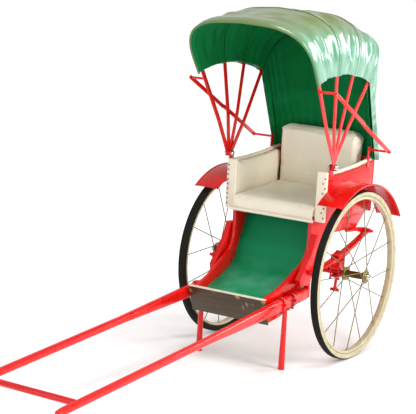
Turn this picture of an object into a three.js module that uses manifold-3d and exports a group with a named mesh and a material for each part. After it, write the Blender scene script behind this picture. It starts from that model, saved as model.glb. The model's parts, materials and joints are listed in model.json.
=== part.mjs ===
// A two-wheeled, hand-pulled rickshaw with a folding hood, in millimetres.
// +X is the passenger's left, -Y is the front where the puller stands, +Z is up.
// Shapes are drawn with the axle above y = 0 and the ground at z = 0; the group at the end moves
// everything along Y, so that the origin lies on the ground under the middle of the whole vehicle.
import * as THREE from "three";
import { mergeVertices } from "three/addons/utils/BufferGeometryUtils.js";
import Module from "manifold-3d";

const wasm = await Module();
wasm.setup();

// ---- driving dimensions -------------------------------------------------------------------------
const GAP = 0.3; // between pieces that touch
const WHEEL_R = 420;
const WHEEL_X = 376; // middle plane of a wheel
const ROUND = 40; // facets round a wheel
const TYRE_W = 40;
const TYRE_DEPTH = 28;
const RIM_DEPTH = 14;
const RIM_W = 32;
const SPOKES = 16;
const SPOKE_R = 2.4;
const AXLE_R = 15;
const JOURNAL_R = 11;
const HUB_IN = 312; // inboard end of a hub
const HUB_OUT = 441;
const FLANGE_IN = 329;
const FLANGE_OUT = 436;
const FLANGE_R = 34;

const SHAFT_X = 240;
const SHAFT_REAR = [-250, 344]; // y, z of the centre line at the rear end
const SHAFT_TIP = [-2144, 193];
const CROSSBAR_Y = -2013;
const LEG = { x: 236, y: -428, r: 11, foot: 16 };

const BODY_T = 20; // thickness of the body's side panels
const BODY_X = 219; // inner face of a side panel above the axle
const BODY_TAPER = 0.069; // how much the body narrows for each millimetre forward
const SEAT_Z = 702; // top of the side panels, where the arms stand
const SEAT_FRONT = -211;
const ARM_IN = 236; // inner face of an armrest pad
const ARM_BOARD = [265.8, 280.8];
const ARM_FRONT = -183;
const BODY_REAR = 300;

const PIVOT = [-157, 957]; // y, z of the pin that the hood's hoops turn on
const HOOP_T = 4;
const HOOP_W = 26;
const HOOP_PITCH = 5; // side by side on the pin
const HOOP_FLARE = 20;
const HOOPS = [
  { name: "hood_hoop_1", lean: -30.9, crown: 804, seat: 3 },
  { name: "hood_hoop_2", lean: -8.1, crown: 741, seat: 2 },
  { name: "hood_hoop_3", lean: 13.8, crown: 739, seat: 1 },
  { name: "hood_hoop_4", lean: 35, crown: 776, seat: 0 },
];
const HOOP_X = 289.3; // middle of the innermost eye
const KNOB_X = [307, 322];
const STAY_X = 401;
const STAY_PIN_R = 442; // how far up the front hoop its stays are pinned
const onLean = (r, lean) => [
  PIVOT[0] + r * Math.sin(THREE.MathUtils.degToRad(lean)),
  PIVOT[1] + r * Math.cos(THREE.MathUtils.degToRad(lean)),
];
const STAY_TOP = onLean(STAY_PIN_R, HOOPS[0].lean);
const STAY_REAR = [235, 1013];

const GUARD_R = 452; // inside of a mudguard
const AXLE_Y = 862; // the axle's place in the finished frame

// ---- finishes -----------------------------------------------------------------------------------
const paint = (color, roughness, metalness = 0) =>
  new THREE.MeshStandardMaterial({ color, roughness, metalness });
const RED = paint("#df1a1e", 0.3);
const GREEN = paint("#00774a", 0.5);
const CREAM = paint("#e0d6bb", 0.45);
const COVER = paint("#0b6b3c", 0.35);
const RUBBER = paint("#20241f", 0.8);
const RIM = paint("#d9d2b8", 0.4);
const STEEL = paint("#8b8672", 0.4, 1);
const BROWN = paint("#44341a", 0.6);
const TRIM = paint("#eee8da", 0.4);
const BRIGHT = paint("#d8dadb", 0.2, 1);

// ---- making shapes ------------------------------------------------------------------------------
const root = new THREE.Group();
root.position.y = AXLE_Y;

// A closed three.js geometry as a solid that can be joined and cut.
function solid(geometry) {
  const bare = geometry.clone();
  bare.deleteAttribute("normal");
  bare.deleteAttribute("uv");
  const merged = mergeVertices(bare, 1e-3);
  return new wasm.Manifold(
    new wasm.Mesh({
      numProp: 3,
      vertProperties: merged.attributes.position.array,
      triVerts: new Uint32Array(merged.index.array),
    }),
  );
}

const join = (...geometries) =>
  geometries.map(solid).reduce((all, next) => all.add(next));

// A joined or cut solid back as a geometry.
function shown(made) {
  const { vertProperties, triVerts } = made.getMesh();
  const geometry = new THREE.BufferGeometry();
  geometry.setAttribute("position", new THREE.BufferAttribute(vertProperties, 3));
  geometry.setIndex(new THREE.BufferAttribute(triVerts, 1));
  return geometry;
}

function add(name, piece, material) {
  const geometry = piece.isBufferGeometry ? piece : shown(piece);
  const mesh = new THREE.Mesh(geometry, material.clone());
  mesh.name = name;
  root.add(mesh);
  return mesh;
}

// The same piece on the left (+X), where it is drawn, and mirrored to the right.
function addPair(name, piece, material) {
  add(`${name}_left`, piece, material);
  add(`${name}_right`, piece, material).scale.x = -1;
}

function block([x0, x1], [y0, y1], [z0, z1]) {
  const box = new THREE.BoxGeometry(x1 - x0, y1 - y0, z1 - z0);
  return box.translate((x0 + x1) / 2, (y0 + y1) / 2, (z0 + z1) / 2);
}

// A round bar between two points.
function bar(from, to, r, sides = 12, rEnd = r) {
  const a = new THREE.Vector3(...from);
  const b = new THREE.Vector3(...to);
  const way = b.clone().sub(a);
  const rod = new THREE.CylinderGeometry(rEnd, r, way.length(), sides);
  const turn = new THREE.Quaternion().setFromUnitVectors(
    new THREE.Vector3(0, 1, 0),
    way.clone().normalize(),
  );
  return rod.applyQuaternion(turn).translate(...a.add(b).multiplyScalar(0.5));
}

// A round bar along X at one y and z.
const pin = (y, z, x0, x1, r, sides = 16) => bar([x0, y, z], [x1, y, z], r, sides);

// A flat outline of y, z points, as thick as x0 to x1.
function plate(points, [x0, x1]) {
  const outline = new THREE.Shape(points.map(([y, z]) => new THREE.Vector2(y, z)));
  const flat = new THREE.ExtrudeGeometry(outline, {
    depth: x1 - x0,
    bevelEnabled: false,
  });
  const toYZ = new THREE.Matrix4().set(0, 0, 1, x0, 1, 0, 0, 0, 0, 1, 0, 0, 0, 0, 0, 1);
  return flat.applyMatrix4(toYZ);
}

// A ring or disc turned about the X axis through a y, z point; the profile is x, radius.
function turned(profile, segments, [y, z] = [0, WHEEL_R]) {
  const points = profile.map(([x, r]) => new THREE.Vector2(r, x));
  if (THREE.ShapeUtils.area(points) < 0) points.reverse();
  const lathe = new THREE.LatheGeometry(points, segments);
  return lathe.rotateZ(-Math.PI / 2).translate(0, y, z);
}

const curve = (points, count) =>
  new THREE.SplineCurve(points.map((p) => new THREE.Vector2(...p)))
    .getPoints(count)
    .map((p) => [p.x, p.y]);

// A band of even thickness on both sides of a line of points.
function band(line, thickness) {
  const side = (sign) =>
    line.map(([a, b], i) => {
      const [pa, pb] = line[Math.max(i - 1, 0)];
      const [na, nb] = line[Math.min(i + 1, line.length - 1)];
      const long = Math.hypot(na - pa, nb - pb);
      const half = (sign * thickness) / 2;
      return [a - (half * (nb - pb)) / long, b + (half * (na - pa)) / long];
    });
  return [...side(1), ...side(-1).reverse()];
}

// A panel across the body between its two side panels, from a y, z outline.
function acrossBody(outline, clearance = GAP) {
  const geometry = plate(outline, [-1, 1]);
  const place = geometry.attributes.position;
  for (let i = 0; i < place.count; i++) {
    const half = BODY_X + BODY_TAPER * place.getY(i) - clearance;
    place.setX(i, place.getX(i) * half);
  }
  return geometry;
}

// ---- wheels -------------------------------------------------------------------------------------
function tyre() {
  const half = TYRE_W / 2;
  const inner = WHEEL_R - TYRE_DEPTH;
  return turned(
    [
      [WHEEL_X + half - 3, inner],
      [WHEEL_X + half, inner + 7],
      [WHEEL_X + half, WHEEL_R - 8],
      [WHEEL_X + half - 7, WHEEL_R],
      [WHEEL_X - half + 7, WHEEL_R],
      [WHEEL_X - half, WHEEL_R - 8],
      [WHEEL_X - half, inner + 7],
      [WHEEL_X - half + 3, inner],
      [WHEEL_X + half - 3, inner],
    ],
    ROUND,
  );
}

const RIM_OUT = WHEEL_R - TYRE_DEPTH - GAP;
const RIM_IN = RIM_OUT - RIM_DEPTH;

function rim() {
  const half = RIM_W / 2;
  return turned(
    [
      [WHEEL_X + half, RIM_OUT],
      [WHEEL_X - half, RIM_OUT],
      [WHEEL_X - half + 6, RIM_IN],
      [WHEEL_X + half - 6, RIM_IN],
      [WHEEL_X + half, RIM_OUT],
    ],
    ROUND,
  );
}

// The hub's barrel and flanges, with the spokes laced to the two flanges in turn.
function hubAndSpokes() {
  const hub = turned(
    [
      [HUB_IN, JOURNAL_R + GAP],
      [HUB_OUT, JOURNAL_R + GAP],
      [HUB_OUT, 17],
      [FLANGE_OUT + 3, 17],
      [FLANGE_OUT + 3, FLANGE_R],
      [FLANGE_OUT - 3, FLANGE_R],
      [FLANGE_OUT - 3, 16],
      [FLANGE_IN + 3, 16],
      [FLANGE_IN + 3, FLANGE_R],
      [FLANGE_IN - 3, FLANGE_R],
      [FLANGE_IN - 3, 17],
      [HUB_IN, 17],
      [HUB_IN, JOURNAL_R + GAP],
    ],
    16,
  );
  let made = solid(hub);
  for (let i = 0; i < SPOKES; i++) {
    const atRim = (i / SPOKES) * 2 * Math.PI + 0.08;
    const lace = (i % 4 < 2 ? 1 : -1) * 0.85;
    const atHub = atRim + lace;
    const flange = i % 2 ? FLANGE_IN : FLANGE_OUT;
    const on = (x, r, angle) => [x, r * Math.sin(angle), WHEEL_R + r * Math.cos(angle)];
    const inward = on(flange, FLANGE_R - 6, atHub);
    const outward = on(WHEEL_X, RIM_IN - 2, atRim);
    made = made.add(solid(bar(inward, outward, SPOKE_R, 5)));
  }
  return made;
}

function hubCap() {
  return turned(
    [
      [HUB_OUT + GAP, 12],
      [HUB_OUT + GAP, 17],
      [452, 15.5],
      [462, 11],
      [464, 0],
      [455, 0],
      [455, 12],
      [HUB_OUT + GAP, 12],
    ],
    20,
  );
}

addPair("tyre", tyre(), RUBBER);
addPair("rim", rim(), RIM);
addPair("hub_and_spokes", hubAndSpokes(), STEEL);
addPair("hub_cap", hubCap(), BRIGHT);

// ---- axle and springs ---------------------------------------------------------------------------
const SPRING_X = [258, 292];
const SPRING_EYES = [
  [-262, 452],
  [300, 588],
];
const SPRING_LINE = [SPRING_EYES[0], [-120, 474], [0, 498], [150, 540], SPRING_EYES[1]];
const LEAF_T = 8;

const axleStub = (sign) => pin(0, WHEEL_R, sign * 295, sign * 450, JOURNAL_R, 20);
add(
  "axle",
  join(pin(0, WHEEL_R, -305, 305, AXLE_R, 20), axleStub(1), axleStub(-1)),
  RED,
);

function leafSpring() {
  const main = curve(SPRING_LINE, 20);
  const lower = (from, to, drop) =>
    main.filter(([y]) => y > from && y < to).map(([y, z]) => [y, z - drop]);
  const leaves = [
    main,
    lower(-175, 200, LEAF_T - 0.4),
    lower(-95, 110, 2 * (LEAF_T - 0.4)),
  ].map((line) => plate(band(line, LEAF_T), SPRING_X));
  let made = join(...leaves);
  for (const [y, z] of SPRING_EYES) {
    made = made
      .add(solid(pin(y, z, ...SPRING_X, 13)))
      .subtract(solid(pin(y, z, SPRING_X[0] - 5, SPRING_X[1] + 5, 6.4)));
  }
  return made;
}
addPair("leaf_spring", leafSpring(), RED);

// The pad between axle and spring, held by two U-bolts, with a short hanger below the axle.
const SEAT_HALF = 32; // along the spring
const SPRING_SLOPE = 0.27; // rise of the spring over the axle
function springSeat() {
  const x = [SPRING_X[0] - 6, SPRING_X[1] + 6];
  const rise = SEAT_HALF * SPRING_SLOPE;
  const sloped = (low, high, rakeLow, rakeHigh) => [
    [-SEAT_HALF, low - rakeLow],
    [SEAT_HALF, low + rakeLow],
    [SEAT_HALF, high + rakeHigh],
    [-SEAT_HALF, high - rakeHigh],
  ];
  const pieces = [
    plate(sloped(WHEEL_R + AXLE_R + GAP, 475.5, 0, rise), x),
    plate(sloped(396, WHEEL_R - AXLE_R - GAP, 0, 0), x),
    plate(sloped(505.5, 512, rise, rise), x),
  ];
  for (const y of [-24, 24]) {
    const top = 514 + y * SPRING_SLOPE;
    for (const side of x) pieces.push(bar([side, y, 394], [side, y, top], 4, 8));
  }
  pieces.push(bar([275, 0, 398], [275, -12, 334], 8, 10));
  pieces.push(bar([254, -12, 330], [298, -12, 330], 8.5, 10));
  return join(...pieces);
}
addPair("spring_seat", springSeat(), RED);

// The iron that carries the spring's front eye and the rear end of the shaft.
function frontIron() {
  const outline = [
    [-234, 325],
    [-249.6, 325],
    [-249.6, 386],
    [-335, 396],
    [-342, 425],
    [-300, 474],
    [-240, 545],
    [-208, 622],
    [-168, 622],
    [-178, 560],
    [-206, 500],
    [-224, 440],
    [-234, 400],
  ];
  const [y, z] = SPRING_EYES[0];
  return join(plate(outline, [229.5, 257.5]), pin(y, z, 250, 300, 6));
}
addPair("front_spring_iron", frontIron(), RED);

function rearIron() {
  const outline = [
    [120, 609.5],
    [120, 600],
    [230, 592],
    [285, 572],
    [312, 572],
    [318, 588],
    [308, 602],
    [240, 609.5],
  ];
  const [y, z] = SPRING_EYES[1];
  return join(plate(outline, [240, 257.5]), pin(y, z, 250, 300, 6));
}
addPair("rear_spring_iron", rearIron(), RED);

// ---- shafts and legs ----------------------------------------------------------------------------
const shaftZ = (y) => {
  const along = (y - SHAFT_REAR[0]) / (SHAFT_TIP[0] - SHAFT_REAR[0]);
  return SHAFT_REAR[1] + along * (SHAFT_TIP[1] - SHAFT_REAR[1]);
};

// y, height and width of a shaft where its taper changes.
const SHAFT_SECTIONS = [
  [SHAFT_REAR[0], 60, 34],
  [-620, 60, 34],
  [-1100, 36, 32],
  [SHAFT_TIP[0] + 30, 33, 31],
  [SHAFT_TIP[0], 26, 24],
];

// A beam with chamfered corners, lofted through its sections.
function shaft() {
  const rings = SHAFT_SECTIONS.map(([y, high, wide]) => {
    const [h, w] = [high / 2, wide / 2];
    const c = 0.55 * Math.min(h, w);
    const ring = [
      [w, h - c],
      [w - c, h],
      [c - w, h],
      [-w, h - c],
      [-w, c - h],
      [c - w, -h],
      [w - c, -h],
      [w, c - h],
    ];
    return ring.map(([x, z]) => [SHAFT_X + x, y, shaftZ(y) + z]);
  });
  return loft(rings);
}

// A closed solid through rings that have the same number of points, capped at both ends.
function loft(rings) {
  const count = rings[0].length;
  const faces = [];
  rings.slice(1).forEach((ring, i) => {
    for (let k = 0; k < count; k++) {
      const a = i * count + k;
      const b = i * count + ((k + 1) % count);
      faces.push(a, a + count, b, b, a + count, b + count);
    }
  });
  const last = (rings.length - 1) * count;
  for (let k = 1; k < count - 1; k++) {
    faces.push(0, k, k + 1, last, last + k + 1, last + k);
  }
  const geometry = new THREE.BufferGeometry();
  const flat = rings.flat(2);
  geometry.setAttribute("position", new THREE.Float32BufferAttribute(flat, 3));
  return facingOut(geometry, faces);
}

// Gives a closed geometry its faces, all turned round where they would face inwards.
function facingOut(geometry, faces) {
  geometry.setIndex(faces);
  if (solid(geometry).volume() < 0) geometry.setIndex(faces.slice().reverse());
  return geometry;
}
addPair("shaft", shaft(), RED);

const crossbarEnd = SHAFT_X - 16 - GAP;
const crossbarZ = shaftZ(CROSSBAR_Y);
add("crossbar", pin(CROSSBAR_Y, crossbarZ, -crossbarEnd, crossbarEnd, 14, 16), RED);

function leg() {
  const top = shaftZ(LEG.y) - 30 - GAP;
  const [x, y] = [LEG.x, LEG.y];
  return join(
    bar([x, y, 0], [x, y, top - 6], LEG.foot, 14, LEG.r),
    block([x - 14, x + 14], [y - 26, y + 26], [top - 9, top - 3]),
  );
}
addPair("front_leg", leg(), RED);

// ---- body ---------------------------------------------------------------------------------------
const FOOT_EDGE = curve(
  [
    [-206, 702],
    [-204, 620],
    [-212, 545],
    [-250, 492],
    [-340, 443],
    [-440, 395],
    [-510, 373],
    [-573, 357],
  ],
  22,
);
const UNDER_EDGE = curve(
  [
    [-531, 238],
    [-400, 262],
    [-260, 325],
    [-165, 410],
    [-100, 520],
    [-40, 590],
    [10, 610],
  ],
  16,
);

function sidePanel() {
  const outline = [
    [BODY_REAR, SEAT_Z],
    ...FOOT_EDGE,
    ...UNDER_EDGE,
    [211, 610],
    [262, 655],
  ];
  const flat = plate(outline, [BODY_X, BODY_X + BODY_T]);
  const shear = new THREE.Matrix4().set(1, BODY_TAPER, 0, 0, 0, 1, 0, 0, 0, 0, 1, 0, 0, 0, 0, 1);
  return flat.applyMatrix4(shear);
}
addPair("side_panel", sidePanel(), RED);

// The green riser under the seat runs down in a curve and becomes the foot board.
const FOOT_LINE = curve(
  [
    [-76, 680],
    [-120, 580],
    [-166, 488],
    [-196, 430],
    [-262, 395],
    [-353, 364],
    [-440, 340],
    [-550, 318],
  ],
  22,
);
add("foot_board", acrossBody(band(FOOT_LINE, 12)), GREEN);

const BOARD_TOP = [-589, 359];
const BOARD_FOOT = [-544, 234];
const BOARD_T = 13;
const BOARD_HALF = 211;
function frontBoard() {
  const outline = [
    BOARD_TOP,
    BOARD_FOOT,
    [BOARD_FOOT[0] + BOARD_T, BOARD_FOOT[1]],
    [BOARD_TOP[0] + BOARD_T, BOARD_TOP[1]],
  ];
  return plate(outline, [-BOARD_HALF, BOARD_HALF]);
}
add("front_board", frontBoard(), BROWN);
add(
  "front_board_trim",
  block(
    [-BOARD_HALF - 2, BOARD_HALF + 2],
    [BOARD_TOP[0] - 4, BOARD_TOP[0] + 17],
    [BOARD_TOP[1] + GAP, BOARD_TOP[1] + 6],
  ),
  TRIM,
);

const seatBoard = [
  [SEAT_FRONT + 1, 686],
  [BODY_REAR - 40, 686],
  [BODY_REAR - 40, 700],
  [SEAT_FRONT + 1, 700],
];
add("seat_board", acrossBody(seatBoard), RED);

const boxBottom = [
  [-62, 600],
  [0, 619],
  [204, 619],
  [290, 698],
];
add("seat_box_bottom", acrossBody(band(boxBottom, 10)), RED);

const ARM_TOP = [
  [-178, 928],
  [-40, 930],
  [120, 942],
  [224, 956],
];
function armBoard() {
  const outline = [
    [-178, 692],
    ...ARM_TOP,
    [BODY_REAR, 964],
    [BODY_REAR, 704],
    [250, 692],
  ];
  return plate(outline, ARM_BOARD);
}
addPair("arm_board", armBoard(), RED);

const rearPanel = block([-ARM_BOARD[1], ARM_BOARD[1]], [BODY_REAR + GAP, 314], [690, 966]);
add("rear_panel", rearPanel, RED);

// ---- upholstery ---------------------------------------------------------------------------------
function rounded(points, radius) {
  const path = new THREE.Path();
  points.forEach((p, i) => {
    const here = new THREE.Vector2(...p);
    const before = new THREE.Vector2(...points.at(i - 1)).sub(here);
    const after = new THREE.Vector2(...points[(i + 1) % points.length]).sub(here);
    const cut = Math.min(p[2] ?? radius, before.length() / 2.1, after.length() / 2.1);
    const start = here.clone().add(before.setLength(cut));
    const end = here.clone().add(after.setLength(cut));
    if (i) path.lineTo(start.x, start.y);
    else path.moveTo(start.x, start.y);
    if (cut > 0) path.quadraticCurveTo(here.x, here.y, end.x, end.y);
  });
  return path.getPoints(4).map((p) => [p.x, p.y]);
}

const cushion = rounded(
  [
    [SEAT_FRONT, 687, 0],
    [SEAT_FRONT, SEAT_Z + GAP, 0],
    [224, SEAT_Z + GAP, 2],
    [224, 790],
    [-110, 766],
    [-224, 748, 22],
    [-224, 687, 3],
  ],
  14,
);
add("seat_cushion", plate(cushion, [-ARM_IN + 0.8, ARM_IN - 0.8]), CREAM);

const backrest = rounded(
  [
    [226, 704, 2],
    [288, 704, 2],
    [294, 1085],
    [262, 1112],
    [218, 1095],
  ],
  18,
);
add("backrest_cushion", plate(backrest, [-ARM_IN + 0.8, ARM_IN - 0.8]), CREAM);

const armPad = rounded(
  [
    [ARM_FRONT, 703, 2],
    [262, 703, 2],
    [262, 959, 30],
    [110, 944],
    [-60, 932],
    [ARM_FRONT, 930, 12],
  ],
  14,
);
addPair("armrest_pad", plate(armPad, [ARM_IN, ARM_BOARD[0] - GAP]), CREAM);

// ---- mudguards ----------------------------------------------------------------------------------
function mudguard() {
  const arc = (r) => {
    const points = [];
    for (let a = -36; a <= 56; a += 4) {
      const t = THREE.MathUtils.degToRad(a);
      points.push([r * Math.sin(t), WHEEL_R + r * Math.cos(t)]);
    }
    return points;
  };
  return plate([...arc(GUARD_R + 3), ...arc(GUARD_R).reverse()], [ARM_BOARD[1] + GAP, 420]);
}
addPair("mudguard", mudguard(), RED);

// ---- folding hood -------------------------------------------------------------------------------
const hoopX = (hoop) => HOOP_X + HOOP_PITCH * hoop.seat;

// Half of a hoop's centre line, as distance from the middle and height above the pin.
function hoopHalf(hoop) {
  const foot = hoopX(hoop);
  const wide = foot + HOOP_FLARE;
  return [
    [foot, 0],
    [foot, 200],
    [wide - 6, 450],
    [wide, hoop.crown - 214],
    [wide - 7, hoop.crown - 149],
    [wide - 28, hoop.crown - 94],
    [wide - 62, hoop.crown - 56],
    [wide - 112, hoop.crown - 28],
    [wide - 180, hoop.crown - 10],
    [0, hoop.crown],
  ];
}

function hoopLine(hoop) {
  const half = hoopHalf(hoop);
  const bend = curve(half.slice(2), 16);
  const side = [...half.slice(0, 2), ...bend];
  const mirror = side.slice(0, -1).map(([x, r]) => [-x, r]);
  return [...side, ...mirror.reverse()];
}

// Places a shape drawn in a hoop's own plane (x, height above the pin, depth) in the vehicle.
function inHoopPlane(geometry, lean) {
  const up = new THREE.Matrix4().makeRotationX(Math.PI / 2);
  const tilt = new THREE.Matrix4().makeRotationX(-THREE.MathUtils.degToRad(lean));
  return geometry.applyMatrix4(up).applyMatrix4(tilt).translate(0, ...PIVOT);
}

function hoopSolid(hoop) {
  const outline = band(hoopLine(hoop), HOOP_T);
  const shape = new THREE.Shape(outline.map((p) => new THREE.Vector2(...p)));
  const flat = new THREE.ExtrudeGeometry(shape, { depth: HOOP_W, bevelEnabled: false });
  flat.translate(0, 0, -HOOP_W / 2);
  let made = solid(inHoopPlane(flat, hoop.lean));
  for (const side of [1, -1]) {
    const x = side * hoopX(hoop);
    const [y, z] = PIVOT;
    const half = HOOP_T / 2;
    made = made
      .add(solid(pin(y, z, x - half, x + half, 15, 20)))
      .subtract(solid(pin(y, z, x - 6, x + 6, 7.4, 16)));
  }
  return made;
}

for (const hoop of HOOPS) {
  let made = hoopSolid(hoop);
  if (hoop.seat === 3) {
    for (const side of [1, -1]) {
      const [y, z] = STAY_TOP;
      const inner = hoopX(hoop) + HOOP_FLARE - 9;
      made = made.add(solid(pin(y, z, side * inner, side * (STAY_X + 7), 6, 12)));
    }
  }
  add(hoop.name, made, RED);
}

function pivotBracket() {
  const [y, z] = PIVOT;
  const ear = rounded(
    [
      [y - 19, z - 70],
      [y + 28, z - 70],
      [y + 18, z + 16],
      [y - 18, z + 16],
    ],
    10,
  );
  const x = ARM_BOARD[1] + GAP;
  return join(plate(ear, [x, x + 5]), pin(y, z, x + 2, KNOB_X[0] - GAP, 7, 16));
}
addPair("hood_pivot", pivotBracket(), RED);

function knob() {
  const profile = [
    [KNOB_X[0], 0],
    [KNOB_X[0], 14],
    [KNOB_X[0] + 4, 16],
    [KNOB_X[1] - 4, 13],
    [KNOB_X[1], 0],
  ];
  return turned(profile, 16, PIVOT);
}
addPair("hood_knob", knob(), BRIGHT);

// ---- the jointed stays that hold the hood open --------------------------------------------------
const ELBOW = [(STAY_TOP[0] + STAY_REAR[0]) / 2, (STAY_TOP[1] + STAY_REAR[1]) / 2];
const STAY_T = 5;

function link(from, to, x, bores) {
  const width = 20;
  const way = Math.atan2(to[1] - from[1], to[0] - from[0]);
  const off = [(-Math.sin(way) * width) / 2, (Math.cos(way) * width) / 2];
  const corners = [
    [from[0] + off[0], from[1] + off[1]],
    [from[0] - off[0], from[1] - off[1]],
    [to[0] - off[0], to[1] - off[1]],
    [to[0] + off[0], to[1] + off[1]],
  ];
  const span = [x - STAY_T / 2, x + STAY_T / 2];
  let made = join(plate(corners, span), pin(...from, ...span, 10), pin(...to, ...span, 10));
  for (const end of bores) made = made.subtract(solid(pin(...end, x - 9, x + 9, 6.4)));
  return made;
}
addPair("stay_front", link(STAY_TOP, ELBOW, STAY_X, [STAY_TOP]), RED);
addPair("stay_rear", link(STAY_REAR, ELBOW, STAY_X - 7, [STAY_REAR]), RED);

function stayBracket() {
  const [y, z] = STAY_REAR;
  const x = ARM_BOARD[1] + GAP;
  return join(
    pin(y, z, x + 2, STAY_X + 3, 6, 12),
    block([x, x + 4], [y - 11, y + 13], [z - 90, z + 14]),
  );
}
addPair("stay_bracket", stayBracket(), RED);

// ---- hood cover ---------------------------------------------------------------------------------
// The cover's cross-section over one hoop, from the hem on the right over the top to the left.
const COVER_T = 4;
const COVER_LIFT = 9;

function coverLine(hoop, lift) {
  const start = hoop.seat === 3 || hoop.seat === 0 ? 486 : 452;
  const line = hoopLine(hoop).filter(([, r]) => r > start);
  const first = [hoopX(hoop) + HOOP_FLARE - 4, start];
  const closed = [first, ...line, [-first[0], start]];
  return closed.map(([x, r], i) => {
    const [px, pr] = closed[Math.max(i - 1, 0)];
    const [nx, nr] = closed[Math.min(i + 1, closed.length - 1)];
    const long = Math.hypot(nx - px, nr - pr);
    return [x + (lift * (nr - pr)) / long, r - (lift * (nx - px)) / long];
  });
}

const COVER_STEPS = 20;
function evenly(line) {
  const path = new THREE.CurvePath();
  line.slice(1).forEach((p, i) => {
    path.add(new THREE.LineCurve(new THREE.Vector2(...line[i]), new THREE.Vector2(...p)));
  });
  return path.getSpacedPoints(COVER_STEPS).map((p) => [p.x, p.y]);
}

function onHoop(hoop, lift, lean = hoop.lean) {
  const t = THREE.MathUtils.degToRad(lean);
  return evenly(coverLine(hoop, lift)).map(([x, r]) => [
    x,
    PIVOT[0] + r * Math.sin(t),
    PIVOT[1] + r * Math.cos(t),
  ]);
}

// A thin closed shell through rows of points, each row given on its inner and its outer face.
function shell(rows) {
  const count = rows[0].inner.length;
  const at = (layer, row, i) => (layer * rows.length + row) * count + i;
  const faces = [];
  const quad = (a, b, c, d) => faces.push(a, b, c, a, c, d);
  const last = rows.length - 1;
  for (let i = 0; i < count - 1; i++) {
    for (let row = 0; row < last; row++) {
      quad(at(0, row, i), at(0, row, i + 1), at(0, row + 1, i + 1), at(0, row + 1, i));
      quad(at(1, row, i), at(1, row + 1, i), at(1, row + 1, i + 1), at(1, row, i + 1));
    }
    quad(at(0, 0, i), at(1, 0, i), at(1, 0, i + 1), at(0, 0, i + 1));
    quad(at(0, last, i), at(0, last, i + 1), at(1, last, i + 1), at(1, last, i));
  }
  for (let row = 0; row < last; row++) {
    quad(at(0, row, 0), at(0, row + 1, 0), at(1, row + 1, 0), at(1, row, 0));
    const end = count - 1;
    quad(at(0, row, end), at(1, row, end), at(1, row + 1, end), at(0, row + 1, end));
  }
  const geometry = new THREE.BufferGeometry();
  const flat = [...rows.map((r) => r.inner), ...rows.map((r) => r.outer)].flat(2);
  geometry.setAttribute("position", new THREE.Float32BufferAttribute(flat, 3));
  return facingOut(geometry, faces);
}

// One row of the cover, over a hoop or a few degrees in front of it or behind it.
function coverRow(hoop, shift) {
  const lean = hoop.lean + shift;
  return {
    inner: onHoop(hoop, COVER_LIFT, lean),
    outer: onHoop(hoop, COVER_LIFT + COVER_T, lean),
  };
}

const SEAM = 0.25; // degrees left between two panels at a hoop
const PAST_HOOP = 1.1; // degrees from a hoop's middle to just past its edge
const LIP = 2.4; // degrees that the front edge stands out past the first hoop
HOOPS.slice(0, 3).forEach((hoop, i) => {
  const rows = [coverRow(hoop, SEAM), coverRow(HOOPS[i + 1], -SEAM)];
  if (i === 0) rows.splice(0, 1, coverRow(hoop, -LIP), coverRow(hoop, PAST_HOOP));
  add(`hood_cover_${i + 1}`, shell(rows), COVER);
});

function backCurtain() {
  const foot = (lift) => {
    const points = [];
    for (let i = 0; i <= COVER_STEPS; i++) {
      const s = 1 - (2 * i) / COVER_STEPS;
      const round = Math.sign(s) * Math.min(1, Math.abs(s) * 1.35);
      const x = (301 + lift) * Math.sin((round * Math.PI) / 2);
      const side = Math.max(0, Math.abs(s) - 0.74) / 0.26;
      points.push([x, 322 + lift - 46 * side ** 1.5, 957]);
    }
    return points;
  };
  return shell([
    coverRow(HOOPS[3], SEAM),
    coverRow(HOOPS[3], PAST_HOOP),
    { inner: foot(0), outer: foot(COVER_T) },
  ]);
}
add("hood_curtain", backCurtain(), COVER);

export default root;
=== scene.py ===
# %% [markdown]
# # A hand-pulled rickshaw
# A light carriage for one passenger: two tall wire-spoked wheels, a wooden body hung on leaf
# springs, two long shafts for the puller and a folding hood on four iron hoops.
# The CAD model fixes every size and every joint. This script dresses it: each cell says what a
# piece is on the real vehicle, how it could be made, and why this way was chosen.

# %% Load the frame
import json
import math
from contextlib import contextmanager

import bmesh
import bpy
import numpy as np
from mathutils import Matrix, Vector


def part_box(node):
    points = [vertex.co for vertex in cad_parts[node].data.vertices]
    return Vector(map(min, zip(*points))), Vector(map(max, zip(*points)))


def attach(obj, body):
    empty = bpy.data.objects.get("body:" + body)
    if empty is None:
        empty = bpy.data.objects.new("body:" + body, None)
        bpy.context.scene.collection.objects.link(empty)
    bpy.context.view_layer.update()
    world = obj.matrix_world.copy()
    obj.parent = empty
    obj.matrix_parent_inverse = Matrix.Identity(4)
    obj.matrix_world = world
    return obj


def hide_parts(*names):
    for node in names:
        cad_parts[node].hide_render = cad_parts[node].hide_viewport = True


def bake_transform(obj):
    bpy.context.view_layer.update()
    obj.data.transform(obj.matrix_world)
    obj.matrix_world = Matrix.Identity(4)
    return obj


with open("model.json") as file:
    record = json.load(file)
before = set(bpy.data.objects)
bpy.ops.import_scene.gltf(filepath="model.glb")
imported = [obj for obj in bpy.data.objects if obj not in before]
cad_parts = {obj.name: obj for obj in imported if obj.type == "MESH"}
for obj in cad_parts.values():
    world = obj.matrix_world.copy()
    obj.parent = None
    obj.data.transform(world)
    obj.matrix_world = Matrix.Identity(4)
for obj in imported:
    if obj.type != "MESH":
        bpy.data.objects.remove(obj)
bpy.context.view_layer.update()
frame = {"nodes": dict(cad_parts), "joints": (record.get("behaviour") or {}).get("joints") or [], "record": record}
NODES = frame["nodes"]
RECORD = frame["record"]
JOINTS = {joint["name"]: joint for joint in frame["joints"]}
BODY_OF = {n: body for body, names in RECORD["behaviour"]["bodies"].items() for n in names}
MM = 0.001
SIDES = {"left": 1, "right": -1}

# %% [markdown]
# ## Camera
# The view is a long lens from the front left of the passenger, a little above the hood's middle.

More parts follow.
